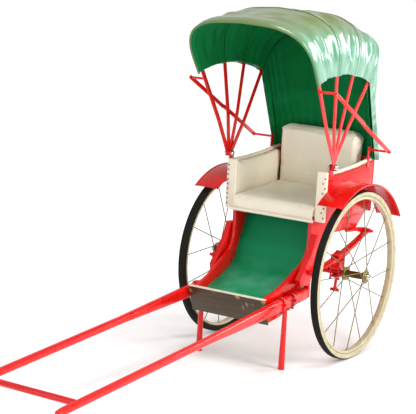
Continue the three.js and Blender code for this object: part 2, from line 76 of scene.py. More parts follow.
# %% Camera
CAMERA_AT = Vector((3.574, -5.530, 1.978))
YAW, PITCH, ROLL = (math.radians(a) for a in (32.537, 10.068, 3.330))


def camera_axes():
    back = Vector(
        (math.sin(YAW) * math.cos(PITCH), -math.cos(YAW) * math.cos(PITCH), math.sin(PITCH))
    )
    level = Vector((math.cos(YAW), math.sin(YAW), 0))
    up = back.cross(level)
    across = level * math.cos(ROLL) + up * math.sin(ROLL)
    return across, back.cross(across), back


turn = Matrix(camera_axes()).transposed().to_4x4()
camera = bpy.data.objects.new("camera", bpy.data.cameras.new("camera"))
camera.data.lens = 127.85
camera.data.clip_end = 60
camera.matrix_world = Matrix.Translation(CAMERA_AT) @ turn
bpy.context.scene.collection.objects.link(camera)
bpy.context.scene.camera = camera
bpy.context.scene.view_settings.view_transform = "Standard"
print("camera", tuple(round(v, 2) for v in CAMERA_AT), "lens", camera.data.lens)

# %% [markdown]
# ## Colours and nodes
# Every finish and every Geometry Nodes tree below is built with one small function that adds a
# node, gives it its settings, and fills or links its sockets. Colours are written as sRGB hex
# values, as a painter would pick them, and one function turns them to the linear values that
# the shaders work in.


# %% The node helpers
def linear(hex_colour):
    values = [int(hex_colour[i : i + 2], 16) / 255 for i in (1, 3, 5)]
    return [v / 12.92 if v <= 0.04045 else ((v + 0.055) / 1.055) ** 2.4 for v in values] + [1]


def feed(tree, node, sockets):
    """Fills or links the sockets of a node. A node as a value stands for its first output, and
    a string that starts with # is a colour."""
    for name, value in sockets.items():
        if isinstance(value, str) and value.startswith("#"):
            value = linear(value)
        if isinstance(value, bpy.types.Node):
            value = next(s for s in value.outputs if s.enabled)
        if isinstance(value, bpy.types.NodeSocket):
            tree.links.new(value, node.inputs[name])
        else:
            node.inputs[name].default_value = value


def put(tree, kind, sockets=None, **settings):
    made = tree.nodes.new(kind)
    for name, value in settings.items():
        setattr(made, name, value)
    feed(tree, made, sockets or {})
    return made


def new_finish(name, **even):
    """A material whose even values sit on the shader's own sockets; returns its tree, shader
    and the place that its patterns read."""
    material = bpy.data.materials.new(name)
    material.use_nodes = True
    tree = material.node_tree
    shader = tree.nodes["Principled BSDF"]
    feed(tree, shader, {socket.replace("_", " "): value for socket, value in even.items()})
    return material, tree, shader, put(tree, "ShaderNodeTexCoord").outputs["Object"]


# %% [markdown]
# ## Floor and light
# A plain pale floor and a white room give the soft reflections of a studio. The room looks pure
# white but lights the vehicle less than that, so that the shaded side keeps its colour, and the
# floor glows a little with distance to meet it. The key box on the passenger's left makes the
# long highlights that gloss enamel and coated cloth need; one behind catches the hood's folds,
# one above the shafts and the seat, and a weak one in front fills the shade.

# %% Floor, room and lamps
FLOOR_HALF = 30.0
floor_mesh = bpy.data.meshes.new("floor")
corners = [(x * FLOOR_HALF, y * FLOOR_HALF, 0) for x, y in ((-1, -1), (1, -1), (1, 1), (-1, 1))]
floor_mesh.from_pydata(corners, [], [(0, 1, 2, 3)])
floor = bpy.data.objects.new("floor", floor_mesh)
bpy.context.scene.collection.objects.link(floor)
pale_floor, tree, shader, place = new_finish("matt_studio_paper", Roughness=0.9)
mottle = put(tree, "ShaderNodeTexNoise", {"Vector": place, "Scale": 1.5, "Detail": 2})
tone = put(tree, "ShaderNodeMix", {0: mottle, 6: "#F6F6F5", 7: "#FAFAF9"}, data_type="RGBA")
flat = put(tree, "ShaderNodeVectorMath", {0: place, 1: (1, 1, 0)}, operation="MULTIPLY")
away = put(tree, "ShaderNodeVectorMath", {0: flat}, operation="LENGTH").outputs["Value"]
lit = put(
    tree,
    "ShaderNodeMapRange",
    {"Value": away, "From Min": 0.3, "From Max": 4.5, "To Min": 0.06, "To Max": 0.5},
)
white = {"Base Color": tone, "Emission Color": tone, "Emission Strength": lit}
feed(tree, shader, white)
floor_mesh.materials.append(pale_floor)

room = bpy.data.worlds.new("white_room")
bpy.context.scene.world = room
room.use_nodes = True
ray = put(room.node_tree, "ShaderNodeLightPath").outputs["Is Camera Ray"]
glow = put(room.node_tree, "ShaderNodeMapRange", {"Value": ray, "To Min": 0.62, "To Max": 1.02})
backdrop = {"Color": "#FDFEFF", "Strength": glow}
feed(room.node_tree, room.node_tree.nodes["Background"], backdrop)


def soft_box(name, place, target, size, watts):
    lamp = bpy.data.lights.new(name, "AREA")
    lamp.shape = "RECTANGLE"
    lamp.size, lamp.size_y = size
    lamp.energy = watts
    box = bpy.data.objects.new(name, lamp)
    facing = (Vector(target) - Vector(place)).to_track_quat("-Z", "Y").to_matrix().to_4x4()
    box.matrix_world = Matrix.Translation(place) @ facing
    bpy.context.scene.collection.objects.link(box)


soft_box("key_box", (4.4, 0.2, 2.6), (0, 0.5, 0.9), (1.6, 2.2), 125)
soft_box("rim_box", (2.6, 4.4, 2.6), (0.2, 0.7, 1.3), (1.2, 2.0), 80)
soft_box("top_box", (0.6, -0.6, 4.6), (0.1, 0.3, 1.0), (1.6, 1.6), 75)
soft_box("fill_box", (-2.0, -5.0, 2.0), (0, 0.2, 0.7), (2.4, 1.6), 35)

# %% [markdown]
# ## The paints
# The irons and the wood wear the same bright red gloss enamel, brushed on by hand over years.
# Brushed enamel is a smooth, slightly wavy plastic film: a clear-coat highlight over a strong
# colour, a little darker where coats are thick and dulled by dust. Noise at the size of a brush
# stroke gives the wave, and a slower noise gives the change of tone.


# %% Red enamel on iron and on wood
def red_enamel(name, grain):
    """grain stretches the brush marks, in each direction, along the piece."""
    material, tree, shader, place = new_finish(
        name, Specular_IOR_Level=0.35, Coat_Weight=0.25, Coat_Roughness=0.08
    )
    patches = put(tree, "ShaderNodeTexNoise", {"Vector": place, "Scale": 7.0, "Detail": 3})
    tone = put(tree, "ShaderNodeMix", {0: patches, 6: "#C80006", 7: "#EE120A"}, data_type="RGBA")
    specks = put(tree, "ShaderNodeTexNoise", {"Vector": place, "Scale": 130.0, "Detail": 5})
    chips = put(tree, "ShaderNodeMapRange", {"Value": specks, "From Min": 0.7, "From Max": 0.76})
    wear_and_sheen = put(tree, "ShaderNodeMix", {0: chips, 6: tone, 7: "#4A1412"}, data_type="RGBA")
    along = put(tree, "ShaderNodeMapping", {"Vector": place, "Scale": grain})
    strokes = put(tree, "ShaderNodeTexNoise", {"Vector": along, "Scale": 160.0, "Detail": 3})
    wave = put(tree, "ShaderNodeBump", {"Height": strokes, "Distance": 0.4 * MM, "Strength": 0.5})
    dull = put(tree, "ShaderNodeMapRange", {"Value": patches, "To Min": 0.2, "To Max": 0.36})
    feed(tree, shader, {"Base Color": wear_and_sheen, "Normal": wave, "Roughness": dull})
    return material


iron_paint = red_enamel("red_gloss_enamel_on_iron", (1, 1, 1))
wood_paint = red_enamel("red_gloss_enamel_on_wood", (1, 0.08, 0.6))

# %% [markdown]
# ## Painted and varnished boards
# The foot board is green oil paint, dulled and greyed where feet rub it. The front board is
# brown varnish over planed wood, kicked bare in patches. Grain is noise stretched along the
# board; wear is a slow noise with a hard threshold.

# %% Green paint and brown varnish
green_paint, tree, shader, place = new_finish("worn_green_oil_paint", Specular_IOR_Level=0.2)
RISER_Z = 0.47  # below this the board is the floor that feet rub
FLOOR_Z = 0.36
dust = put(tree, "ShaderNodeTexNoise", {"Vector": place, "Scale": 9.0, "Detail": 6})
height = put(tree, "ShaderNodeSeparateXYZ", {0: place}).outputs["Z"]
tread = put(tree, "ShaderNodeMapRange", {"Value": height, "From Min": RISER_Z, "From Max": FLOOR_Z})
patchy = put(tree, "ShaderNodeMapRange", {"Value": dust, "From Min": 0.35, "From Max": 0.75})
spread = put(tree, "ShaderNodeMath", {0: tread, 1: patchy}, operation="MULTIPLY")
tone = put(tree, "ShaderNodeMix", {0: spread, 6: "#008A55", 7: "#4FA582"}, data_type="RGBA")
grain = put(tree, "ShaderNodeMapping", {"Vector": place, "Scale": (1, 0.06, 0.06)})
lines = put(tree, "ShaderNodeTexNoise", {"Vector": grain, "Scale": 140.0, "Detail": 4})
relief = put(tree, "ShaderNodeBump", {"Height": lines, "Distance": 0.4 * MM, "Strength": 0.6})
rub = put(tree, "ShaderNodeMapRange", {"Value": spread, "To Min": 0.5, "To Max": 0.75})
feed(tree, shader, {"Base Color": tone, "Normal": relief, "Roughness": rub})

brown_varnish, tree, shader, place = new_finish("scuffed_brown_varnish", IOR=1.5)
grain = put(tree, "ShaderNodeMapping", {"Vector": place, "Scale": (0.05, 1, 1)})
lines = put(tree, "ShaderNodeTexNoise", {"Vector": grain, "Scale": 110.0, "Detail": 5})
wood = put(tree, "ShaderNodeMix", {0: lines, 6: "#1E1508", 7: "#54401F"}, data_type="RGBA")
kicks = put(tree, "ShaderNodeTexNoise", {"Vector": place, "Scale": 13.0, "Detail": 6})
bare = put(tree, "ShaderNodeMapRange", {"Value": kicks, "From Min": 0.6, "From Max": 0.66})
tone = put(tree, "ShaderNodeMix", {0: bare, 6: wood, 7: "#A08A5E"}, data_type="RGBA")
relief = put(tree, "ShaderNodeBump", {"Height": lines, "Distance": 0.5 * MM, "Strength": 0.7})
rub = put(tree, "ShaderNodeMapRange", {"Value": bare, "To Min": 0.35, "To Max": 0.75})
feed(tree, shader, {"Base Color": tone, "Normal": relief, "Roughness": rub})

# %% [markdown]
# ## Upholstery vinyl
# The seat is covered in smooth cream vinyl, calendered with a fine leather grain. The grain is a
# millimetre or two across, a cell pattern; slow noise gives the soft creases and the yellowing
# of handled places.

# %% Cream vinyl
cream_vinyl, tree, shader, place = new_finish("cream_upholstery_vinyl", IOR=1.5)
age = put(tree, "ShaderNodeTexNoise", {"Vector": place, "Scale": 6.0, "Detail": 4})
tone = put(tree, "ShaderNodeMix", {0: age, 6: "#E9DCC0", 7: "#FAF4E4"}, data_type="RGBA")
cells = put(tree, "ShaderNodeTexVoronoi", {"Vector": place, "Scale": 1 / (2.2 * MM)})
creases = put(tree, "ShaderNodeTexNoise", {"Vector": place, "Scale": 22.0, "Detail": 3})
grain = put(tree, "ShaderNodeBump", {"Height": cells, "Distance": 0.15 * MM, "Strength": 0.5})
soft = put(
    tree,
    "ShaderNodeBump",
    {"Height": creases, "Distance": 5 * MM, "Strength": 0.5, "Normal": grain},
)
feed(tree, shader, {"Base Color": tone, "Normal": soft, "Roughness": 0.36})

# %% [markdown]
# ## Hood cloth
# The hood is cotton canvas with a gloss green coating outside and a plain dark green lining
# inside. The coating reflects like oilcloth, so its creases show pale; that sheen is also painted
# into the colour, as pale streaks along the creases of cover, lining and bound edge. Above
# 1.54 m the colour is mixed towards a crown colour. Thread is finer than the view can show, so
# the weave is drawn at 3 mm. Both read the cloth's own UV map, in metres, so that the pattern
# follows the sheet.


# %% Coated cloth and lining
THREAD = 3 * MM


def hood_cloth(name, dark, light, painted_sheen_colour, crown, roughness, **even):
    """The colour given after light is a painted highlight: it is laid in pale streaks along the
    creases and stands in for the coating's sheen. crown is the colour that the cloth is mixed
    towards from 1.54 m to 1.66 m up."""
    material, tree, shader, place = new_finish(name, Roughness=roughness, **even)
    lie = put(tree, "ShaderNodeUVMap", uv_map="cloth")
    shade = put(tree, "ShaderNodeTexNoise", {"Vector": place, "Scale": 5.5, "Detail": 5})
    tone = put(tree, "ShaderNodeMix", {0: shade, 6: dark, 7: light}, data_type="RGBA")
    # painted highlight: streaks of the pale sheen colour along the creases stand in for the coating's sheen
    streak = put(tree, "ShaderNodeMapping", {"Vector": lie, "Scale": (0.3, 1, 1)})
    wear_and_sheen = put(tree, "ShaderNodeTexNoise", {"Vector": streak, "Scale": 15.0, "Detail": 3})
    painted_sheen_mask = put(tree, "ShaderNodeMapRange", {"Value": wear_and_sheen, "From Min": 0.42, "From Max": 0.8})
    tone = put(tree, "ShaderNodeMix", {0: painted_sheen_mask, 6: tone, 7: painted_sheen_colour}, data_type="RGBA")
    # from 1.54 m to 1.66 m up the cloth's colour is mixed towards the crown colour
    height = put(tree, "ShaderNodeSeparateXYZ", {0: place}).outputs["Z"]
    toward_crown = put(tree, "ShaderNodeMapRange", {"Value": height, "From Min": 1.54, "From Max": 1.66})
    tone = put(tree, "ShaderNodeMix", {0: toward_crown, 6: tone, 7: crown}, data_type="RGBA")
    wave = {"Vector": lie, "Scale": 0.05 / THREAD}
    warp = put(tree, "ShaderNodeTexWave", wave, bands_direction="X")
    weft = put(tree, "ShaderNodeTexWave", wave, bands_direction="Y")
    crossing = {0: warp.outputs[1], 1: weft.outputs[1]}
    weave = put(tree, "ShaderNodeMath", crossing, operation="MULTIPLY")
    threads = put(tree, "ShaderNodeBump", {"Height": weave, "Distance": 0.2 * MM, "Strength": 0.3})
    long_creases = put(tree, "ShaderNodeMapping", {"Vector": lie, "Scale": (0.25, 1, 1)})
    creases = put(tree, "ShaderNodeTexNoise", {"Vector": long_creases, "Scale": 26.0, "Detail": 4})
    soft = put(
        tree,
        "ShaderNodeBump",
        {"Height": creases, "Distance": 5 * MM, "Strength": 0.5, "Normal": threads},
    )
    feed(tree, shader, {"Base Color": tone, "Normal": soft})
    return material


coated_cloth = hood_cloth(
    "gloss_coated_green_canvas",
    "#38805A",
    "#6AA588",
    # painted sheen: the pale colour of the cover's highlight streaks
    "#B6DCC8",
    "#68783C",
    0.24,
    IOR=1.5,
    Coat_Weight=0.7,
    Coat_Roughness=0.16,
)
lining_cloth = hood_cloth(
    "matt_green_cotton_lining",
    "#005A2A",
    "#008442",
    # painted sheen: the colour of the lining's pale streaks
    "#0A7C46",
    "#006E38",
    0.85,
    Specular_IOR_Level=0.15,
)
# the bound edge's fourth colour is the painted sheen of its streaks
rolled_edge = hood_cloth("olive_bound_edge", "#2F6B38", "#4F8048", "#6F8F58", "#6E7A42", 0.45)

# %% [markdown]
# ## Rubber, wheel enamel and metals
# Solid rubber tyres are moulded in two colours, black on the tread and cream on the wall that
# faces outwards. The rims are cream enamel over steel. Spokes and hub have yellowed to the
# colour of old brass, and the knobs and hub caps keep a bright plating.


# %% Rubber and enamel
def dusty(name, clean, soiled, roughness, size_mm, relief_mm, **even):
    material, tree, shader, place = new_finish(name, **even)
    dirt = put(
        tree, "ShaderNodeTexNoise", {"Vector": place, "Scale": 0.12 / (size_mm * MM), "Detail": 6}
    )
    tone = put(tree, "ShaderNodeMix", {0: dirt, 6: soiled, 7: clean}, data_type="RGBA")
    scale = 1 / (size_mm * MM)
    pits = put(tree, "ShaderNodeTexNoise", {"Vector": place, "Scale": scale, "Detail": 3})
    relief = put(
        tree, "ShaderNodeBump", {"Height": pits, "Distance": relief_mm * MM, "Strength": 0.5}
    )
    low, high = roughness
    dull = put(tree, "ShaderNodeMapRange", {"Value": dirt, "To Min": high, "To Max": low})
    feed(tree, shader, {"Base Color": tone, "Normal": relief, "Roughness": dull})
    return material


tread_rubber = dusty(
    "moulded_black_rubber", "#060A07", "#1E1D14", (0.7, 0.9), 3, 0.3, Specular_IOR_Level=0.2
)
wall_rubber = dusty("moulded_cream_rubber", "#D8CFB0", "#9A8C68", (0.55, 0.8), 4, 0.2)
rim_enamel = dusty("cream_stoved_enamel", "#D9CFAE", "#A29470", (0.25, 0.5), 5, 0.1, IOR=1.5)
strip_enamel = dusty("white_pressed_strip", "#F4EFE2", "#C9BC98", (0.3, 0.55), 4, 0.2, IOR=1.5)
old_brass = dusty("tarnished_brass", "#A99659", "#5E5024", (0.3, 0.55), 3, 0.1, Metallic=1.0)
dark_brass = dusty("oiled_dark_brass", "#77652F", "#3A2F12", (0.35, 0.6), 3, 0.1, Metallic=1.0)
spoke_wire = dusty("yellowed_spoke_wire", "#8C8058", "#5E5434", (0.35, 0.55), 2, 0.1, Metallic=0.6)
bright_plate = dusty(
    "bright_nickel_plate", "#E4E6E8", "#A6A79F", (0.12, 0.3), 3, 0.05, Metallic=1.0
)
print("finishes", len(bpy.data.materials))

# %% [markdown]
# ## Finishing the irons and boards
# A CAD solid has dead sharp edges, which no forged iron, planed board or painted bar has. Each
# such node is copied, its loose triangles are merged, its sharp edges are rounded by
# a small bevel, and the copy stands for the node. The rounding catches the light and is what
# makes thick enamel look thick.

# %% The edge-rounding helper
SHARP = math.radians(35)  # edges sharper than this are rounded and shaded as edges
FLAT = math.radians(0.6)  # triangles this close to one plane are one face
WELD = 0.01 * MM


@contextmanager
def edited(mesh):
    """The mesh as a bmesh, written back when the block ends."""
    shape = bmesh.new()
    shape.from_mesh(mesh)
    yield shape
    shape.to_mesh(mesh)
    shape.free()


def link(name, mesh):
    piece = bpy.data.objects.new(name, mesh)
    bpy.context.scene.collection.objects.link(piece)
    return piece


def merged_copy(node, name):
    """A copy of a CAD node's mesh with its doubles merged and its flat faces made whole."""
    mesh = NODES[node].data.copy()
    mesh.materials.clear()
    with edited(mesh) as shape:
        bmesh.ops.remove_doubles(shape, verts=shape.verts, dist=WELD)
        bmesh.ops.dissolve_limit(shape, angle_limit=FLAT, verts=shape.verts, edges=shape.edges)
    return link(name, mesh)


def smooth_by_angle(mesh, limit=SHARP):
    with edited(mesh) as shape:
        for face in shape.faces:
            face.smooth = True
        for edge in shape.edges:
            edge.smooth = edge.calc_face_angle(0) < limit


def settled(piece):
    """The piece with its modifiers made real."""
    graph = bpy.context.evaluated_depsgraph_get()
    mesh = bpy.data.meshes.new_from_object(piece.evaluated_get(graph))
    piece.modifiers.clear()
    piece.data = mesh
    return piece


def rounded(piece, width, segments=2):
    """The piece with its sharp edges rounded."""
    bevel = piece.modifiers.new("rounding", "BEVEL")
    bevel.width = width
    bevel.segments = segments
    bevel.limit_method = "ANGLE"
    bevel.angle_limit = SHARP
    settled(piece)
    smooth_by_angle(piece.data)
    return piece


def belongs(piece, body, material, replaces=()):
    """What every finished piece says: its paint, its body and what it stands for."""
    if material:
        piece.data.materials.clear()
        piece.data.materials.append(material)
    if body:
        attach(piece, body)
    if replaces:
        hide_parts(*replaces)
    return piece


def finished(node, material, round_mm):
    piece = rounded(merged_copy(node, f"{node}_finished"), round_mm * MM)
    return belongs(piece, BODY_OF[node], material, [node])


def pair(name):
    return [f"{name}_{side}" for side in SIDES]


# %% Irons and boards
IRONS = [
    "axle",
    *pair("leaf_spring"),
    *pair("spring_seat"),
    *pair("front_spring_iron"),
    *pair("rear_spring_iron"),
    *pair("front_leg"),
    *pair("mudguard"),
    *pair("hood_pivot"),
    *pair("stay_front"),
    *pair("stay_rear"),
    *pair("stay_bracket"),
    *(f"hood_hoop_{k}" for k in (1, 2, 3, 4)),
]
BOARDS = [*pair("shaft"), *pair("side_panel"), *pair("arm_board"), "crossbar", "seat_board"]
BOARDS += ["seat_box_bottom", "rear_panel"]
irons = [finished(node, iron_paint, 0.9) for node in IRONS]
boards = [finished(node, wood_paint, 2.2) for node in BOARDS]
boards.append(finished("foot_board", green_paint, 1.5))
boards.append(finished("front_board", brown_varnish, 1.5))
boards.append(finished("front_board_trim", strip_enamel, 1.5))
plated = [finished(node, bright_plate, 1.0) for node in (*pair("hub_cap"), *pair("hood_knob"))]
print(len(irons), "irons,", len(boards), "boards,", len(plated), "plated pieces")

# %% [markdown]
# ## Trees that grow pieces
# What repeats or runs along a path is made with Geometry Nodes: a small tree with named sizes,
# built here and given its values before it is first evaluated, then turned into a plain mesh.


# %% Growing a piece from a tree
def new_tree(name, sizes):
    tree = bpy.data.node_groups.new(name, "GeometryNodeTree")
    tree.interface.new_socket("Geometry", in_out="INPUT", socket_type="NodeSocketGeometry")
    tree.interface.new_socket("Geometry", in_out="OUTPUT", socket_type="NodeSocketGeometry")
    for label, kind in {**sizes, "Finish": "Material"}.items():
        tree.interface.new_socket(label, in_out="INPUT", socket_type=f"NodeSocket{kind}")
    return tree, tree.nodes.new("NodeGroupInput").outputs


def close_tree(tree, geometry, finish):
    whole = put(tree, "GeometryNodeRealizeInstances", {"Geometry": geometry})
    painted = put(tree, "GeometryNodeSetMaterial", {"Geometry": whole, "Material": finish})
    put(tree, "NodeGroupOutput", {"Geometry": painted})


def grow(name, tree, values, seed_mesh=None):
    """A plain mesh object from a tree; seed_mesh holds the points or path that it grows on."""
    piece = link(name, seed_mesh or bpy.data.meshes.new(name))
    growth = piece.modifiers.new("growth", "NODES")
    growth.node_group = tree
    for item in tree.interface.items_tree:
        if item.in_out == "INPUT" and item.name in values:
            growth[item.identifier] = values[item.name]
    settled(piece)
    smooth_by_angle(piece.data)
    return piece


# %% [markdown]
# ## Wheels
# A wheel is the piece whose shape follows a rule. The tyre and the rim are rings: a circle that
# carries a rounded rectangle. The spokes are straight wires, laced left and right in turn from
# the two flanges of the hub, so that each wire's ends are worked out from its number.

# %% The ring tree
RING = {"Radius": "Float", "Width": "Float", "Depth": "Float", "Corner": "Float", "Steps": "Int"}
ring_tree, given = new_tree("ring", RING)
half = put(ring_tree, "ShaderNodeMath", {0: given["Depth"], 1: 0.5}, operation="MULTIPLY")
middle = put(ring_tree, "ShaderNodeMath", {0: given["Radius"], 1: half}, operation="SUBTRACT")
circle = put(
    ring_tree, "GeometryNodeCurvePrimitiveCircle", {"Resolution": given["Steps"], "Radius": middle}
)
box = put(
    ring_tree,
    "GeometryNodeCurvePrimitiveQuadrilateral",
    {"Width": given["Depth"], "Height": given["Width"]},
)
corner = put(
    ring_tree,
    "GeometryNodeFilletCurve",
    {"Curve": box, "Count": 4, "Radius": given["Corner"]},
    mode="POLY",
)
swept = put(ring_tree, "GeometryNodeCurveToMesh", {"Curve": circle, "Profile Curve": corner})
upright = put(
    ring_tree, "GeometryNodeTransform", {"Geometry": swept, "Rotation": (0, math.radians(90), 0)}
)
close_tree(ring_tree, upright, given["Finish"])
print("ring tree", len(ring_tree.nodes), "nodes")

# %% The spoke tree
spoke_tree, given = new_tree(
    "spokes",
    {
        "Count": "Int",
        "Hub Radius": "Float",
        "Rim Radius": "Float",
        "Half Flange": "Float",
        "Dish": "Float",
        "Lace": "Float",
        "Wire": "Float",
    },
)
TURN = 2 * math.pi
FIRST_SPOKE = 0.08  # radians from straight up
line = put(spoke_tree, "GeometryNodeCurvePrimitiveLine")
points = put(spoke_tree, "GeometryNodePoints", {"Count": given["Count"]})
wires = put(spoke_tree, "GeometryNodeInstanceOnPoints", {"Points": points, "Instance": line})
loose = put(spoke_tree, "GeometryNodeRealizeInstances", {"Geometry": wires})
index = put(spoke_tree, "GeometryNodeInputIndex")
count_by_two = put(spoke_tree, "ShaderNodeMath", {0: index, 1: 0.5}, operation="MULTIPLY")
number = put(spoke_tree, "ShaderNodeMath", {0: count_by_two}, operation="FLOOR")
at_rim = put(spoke_tree, "ShaderNodeMath", {0: index, 1: 2}, operation="MODULO")
at_hub = put(spoke_tree, "ShaderNodeMath", {0: 1, 1: at_rim}, operation="SUBTRACT")
odd = put(spoke_tree, "ShaderNodeMath", {0: number, 1: 2}, operation="MODULO")
of_four = put(spoke_tree, "ShaderNodeMath", {0: number, 1: 4}, operation="MODULO")
later = put(spoke_tree, "ShaderNodeMath", {0: of_four, 1: 1.5}, operation="GREATER_THAN")
way = put(spoke_tree, "ShaderNodeMath", {0: later, 1: -2, 2: 1}, operation="MULTIPLY_ADD")
share = put(spoke_tree, "ShaderNodeMath", {0: number, 1: given["Count"]}, operation="DIVIDE")
place = {0: share, 1: TURN, 2: FIRST_SPOKE}
turn = put(spoke_tree, "ShaderNodeMath", place, operation="MULTIPLY_ADD")
lean = put(spoke_tree, "ShaderNodeMath", {0: way, 1: given["Lace"]}, operation="MULTIPLY")
angle = put(spoke_tree, "ShaderNodeMath", {0: lean, 1: at_hub, 2: turn}, operation="MULTIPLY_ADD")
sine = put(spoke_tree, "ShaderNodeMath", {0: angle}, operation="SINE")
cosine = put(spoke_tree, "ShaderNodeMath", {0: angle}, operation="COSINE")
ends = {0: at_rim, 2: given["Hub Radius"], 3: given["Rim Radius"]}
radius = put(spoke_tree, "ShaderNodeMix", ends)
side = put(spoke_tree, "ShaderNodeMath", {0: odd, 1: -2, 2: 1}, operation="MULTIPLY_ADD")
flanges = {0: side, 1: given["Half Flange"], 2: given["Dish"]}
flange = put(spoke_tree, "ShaderNodeMath", flanges, operation="MULTIPLY_ADD")
x = put(spoke_tree, "ShaderNodeMath", {0: flange, 1: at_hub}, operation="MULTIPLY")
y = put(spoke_tree, "ShaderNodeMath", {0: radius, 1: sine}, operation="MULTIPLY")
z = put(spoke_tree, "ShaderNodeMath", {0: radius, 1: cosine}, operation="MULTIPLY")
spot = put(spoke_tree, "ShaderNodeCombineXYZ", {"X": x, "Y": y, "Z": z})
laced = put(spoke_tree, "GeometryNodeSetPosition", {"Geometry": loose, "Position": spot})
round_wire = put(
    spoke_tree, "GeometryNodeCurvePrimitiveCircle", {"Resolution": 8, "Radius": given["Wire"]}
)
drawn = put(
    spoke_tree,
    "GeometryNodeCurveToMesh",
    {"Curve": laced, "Profile Curve": round_wire, "Fill Caps": True},
)
close_tree(spoke_tree, drawn, given["Finish"])
print("spoke tree", len(spoke_tree.nodes), "nodes")


# %% Turned pieces
def turned(name, profile, steps=40):
    """A closed mesh turned about the X axis from (x, radius) points in metres."""
    count = len(profile)
    verts = []
    for i in range(steps):
        t = TURN * i / steps
        verts += [(x, r * math.sin(t), r * math.cos(t)) for x, r in profile]
    faces = [
        (i * count + k, i * count + k + 1, j * count + k + 1, j * count + k)
        for i, j in ((i, (i + 1) % steps) for i in range(steps))
        for k in range(count - 1)
    ]
    mesh = bpy.data.meshes.new(name)
    mesh.from_pydata(verts, [], faces)
    with edited(mesh) as shape:
        bmesh.ops.remove_doubles(shape, verts=shape.verts, dist=WELD)
        bmesh.ops.recalc_face_normals(shape, faces=shape.faces)
    smooth_by_angle(mesh)
    return link(name, mesh)


def mirrored_to(piece, side, place):
    """Moves a piece drawn for the left side to its place, mirrored for the right."""
    flip = Matrix.Diagonal((SIDES[side], 1, 1, 1))
    piece.data.transform(Matrix.Translation(place) @ flip)
    if SIDES[side] < 0:
        piece.data.flip_normals()
    return piece


# %% Build both wheels
SPOKES = 16
LACE = 0.85
WALL = 7 * MM  # how far the cream wall reaches down from the tread
tyre_low, tyre_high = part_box("tyre_left")
rim_low, rim_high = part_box("rim_left")
hub_low, hub_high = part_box("hub_and_spokes_left")
WHEEL_R = (tyre_high.z - tyre_low.z) / 2
RIM_R = (rim_high.z - rim_low.z) / 2
TYRE_W = tyre_high.x - tyre_low.x
TYRE_DEPTH = 28 * MM
RIM_DEPTH = 14 * MM
centre = (tyre_low + tyre_high) / 2
HUB_HALF = (hub_high.x - hub_low.x) / 2
HUB_SHIFT = (hub_high.x + hub_low.x) / 2 - centre.x
FLANGE_R = 34 * MM
JOURNAL = 11.6 * MM

hub_profile = [
    (-HUB_HALF, JOURNAL),
    (-HUB_HALF, 17 * MM),
    (-HUB_HALF + 10 * MM, 19 * MM),
    (-HUB_HALF + 13 * MM, FLANGE_R - 1 * MM),
    (-HUB_HALF + 14.5 * MM, FLANGE_R),
    (-HUB_HALF + 18.5 * MM, FLANGE_R),
    (-HUB_HALF + 20 * MM, FLANGE_R - 1.5 * MM),
    (-HUB_HALF + 22 * MM, 19 * MM),
    (-HUB_HALF + 30 * MM, 16 * MM),
    (0, 17.5 * MM),
    (HUB_HALF - 22 * MM, 16 * MM),
    (HUB_HALF - 12 * MM, 18 * MM),
    (HUB_HALF - 10 * MM, FLANGE_R - 1.5 * MM),
    (HUB_HALF - 8.5 * MM, FLANGE_R),
    (HUB_HALF - 4.5 * MM, FLANGE_R),
    (HUB_HALF - 3 * MM, FLANGE_R - 1.5 * MM),
    (HUB_HALF - 2 * MM, 19 * MM),
    (HUB_HALF, 17 * MM),
    (HUB_HALF, JOURNAL),
    (-HUB_HALF, JOURNAL),
]


def two_colours(tyre):
    """The wall that faces outwards is cream, and the rest of the rubber is black."""
    tyre.data.materials.append(wall_rubber)
    for face in tyre.data.polygons:
        r = math.hypot(face.center.y, face.center.z)
        face.material_index = int(r < WHEEL_R - WALL and face.center.x > 0)


for side, sign in SIDES.items():
    hub_place = Vector((sign * centre.x, centre.y, centre.z))
    tyre = grow(
        f"solid_tyre_{side}",
        ring_tree,
        {
            "Radius": WHEEL_R,
            "Width": TYRE_W,
            "Depth": TYRE_DEPTH,
            "Corner": 10 * MM,
            "Steps": 160,
            "Finish": tread_rubber,
        },
    )
    two_colours(tyre)
    rim = grow(
        f"steel_rim_{side}",
        ring_tree,
        {
            "Radius": RIM_R,
            "Width": rim_high.x - rim_low.x,
            "Depth": RIM_DEPTH,
            "Corner": 5.5 * MM,
            "Steps": 160,
            "Finish": rim_enamel,
        },
    )
    spokes = grow(
        f"laced_spokes_{side}",
        spoke_tree,
        {
            "Count": SPOKES,
            "Hub Radius": FLANGE_R - 5 * MM,
            "Rim Radius": RIM_R - RIM_DEPTH + 2 * MM,
            "Half Flange": HUB_HALF - 11.5 * MM,
            "Dish": HUB_SHIFT,
            "Lace": LACE,
            "Wire": 2.4 * MM,
            "Finish": spoke_wire,
        },
    )
    hub = turned(f"hub_barrel_{side}", [(x + HUB_SHIFT, r) for x, r in hub_profile])
    hub.data.materials.append(old_brass)
    hub.data.materials.append(dark_brass)
    for face in hub.data.polygons:
        inside = abs(face.center.x - HUB_SHIFT) < HUB_HALF - 24 * MM
        face.material_index = int(inside)
    body = f"wheel_{side}"
    for piece, slot, stands_for in (
        (tyre, "tyre_rubber", [f"tyre_{side}"]),
        (rim, "cream_enamel", [f"rim_{side}"]),
        (hub, "hub_brass", [f"hub_and_spokes_{side}"]),
        (spokes, "hub_brass", []),
    ):
        mirrored_to(piece, side, hub_place)
        belongs(piece, body, None, stands_for)
print("wheel radius", round(WHEEL_R, 3), "m, spokes of", len(spokes.data.polygons), "faces")

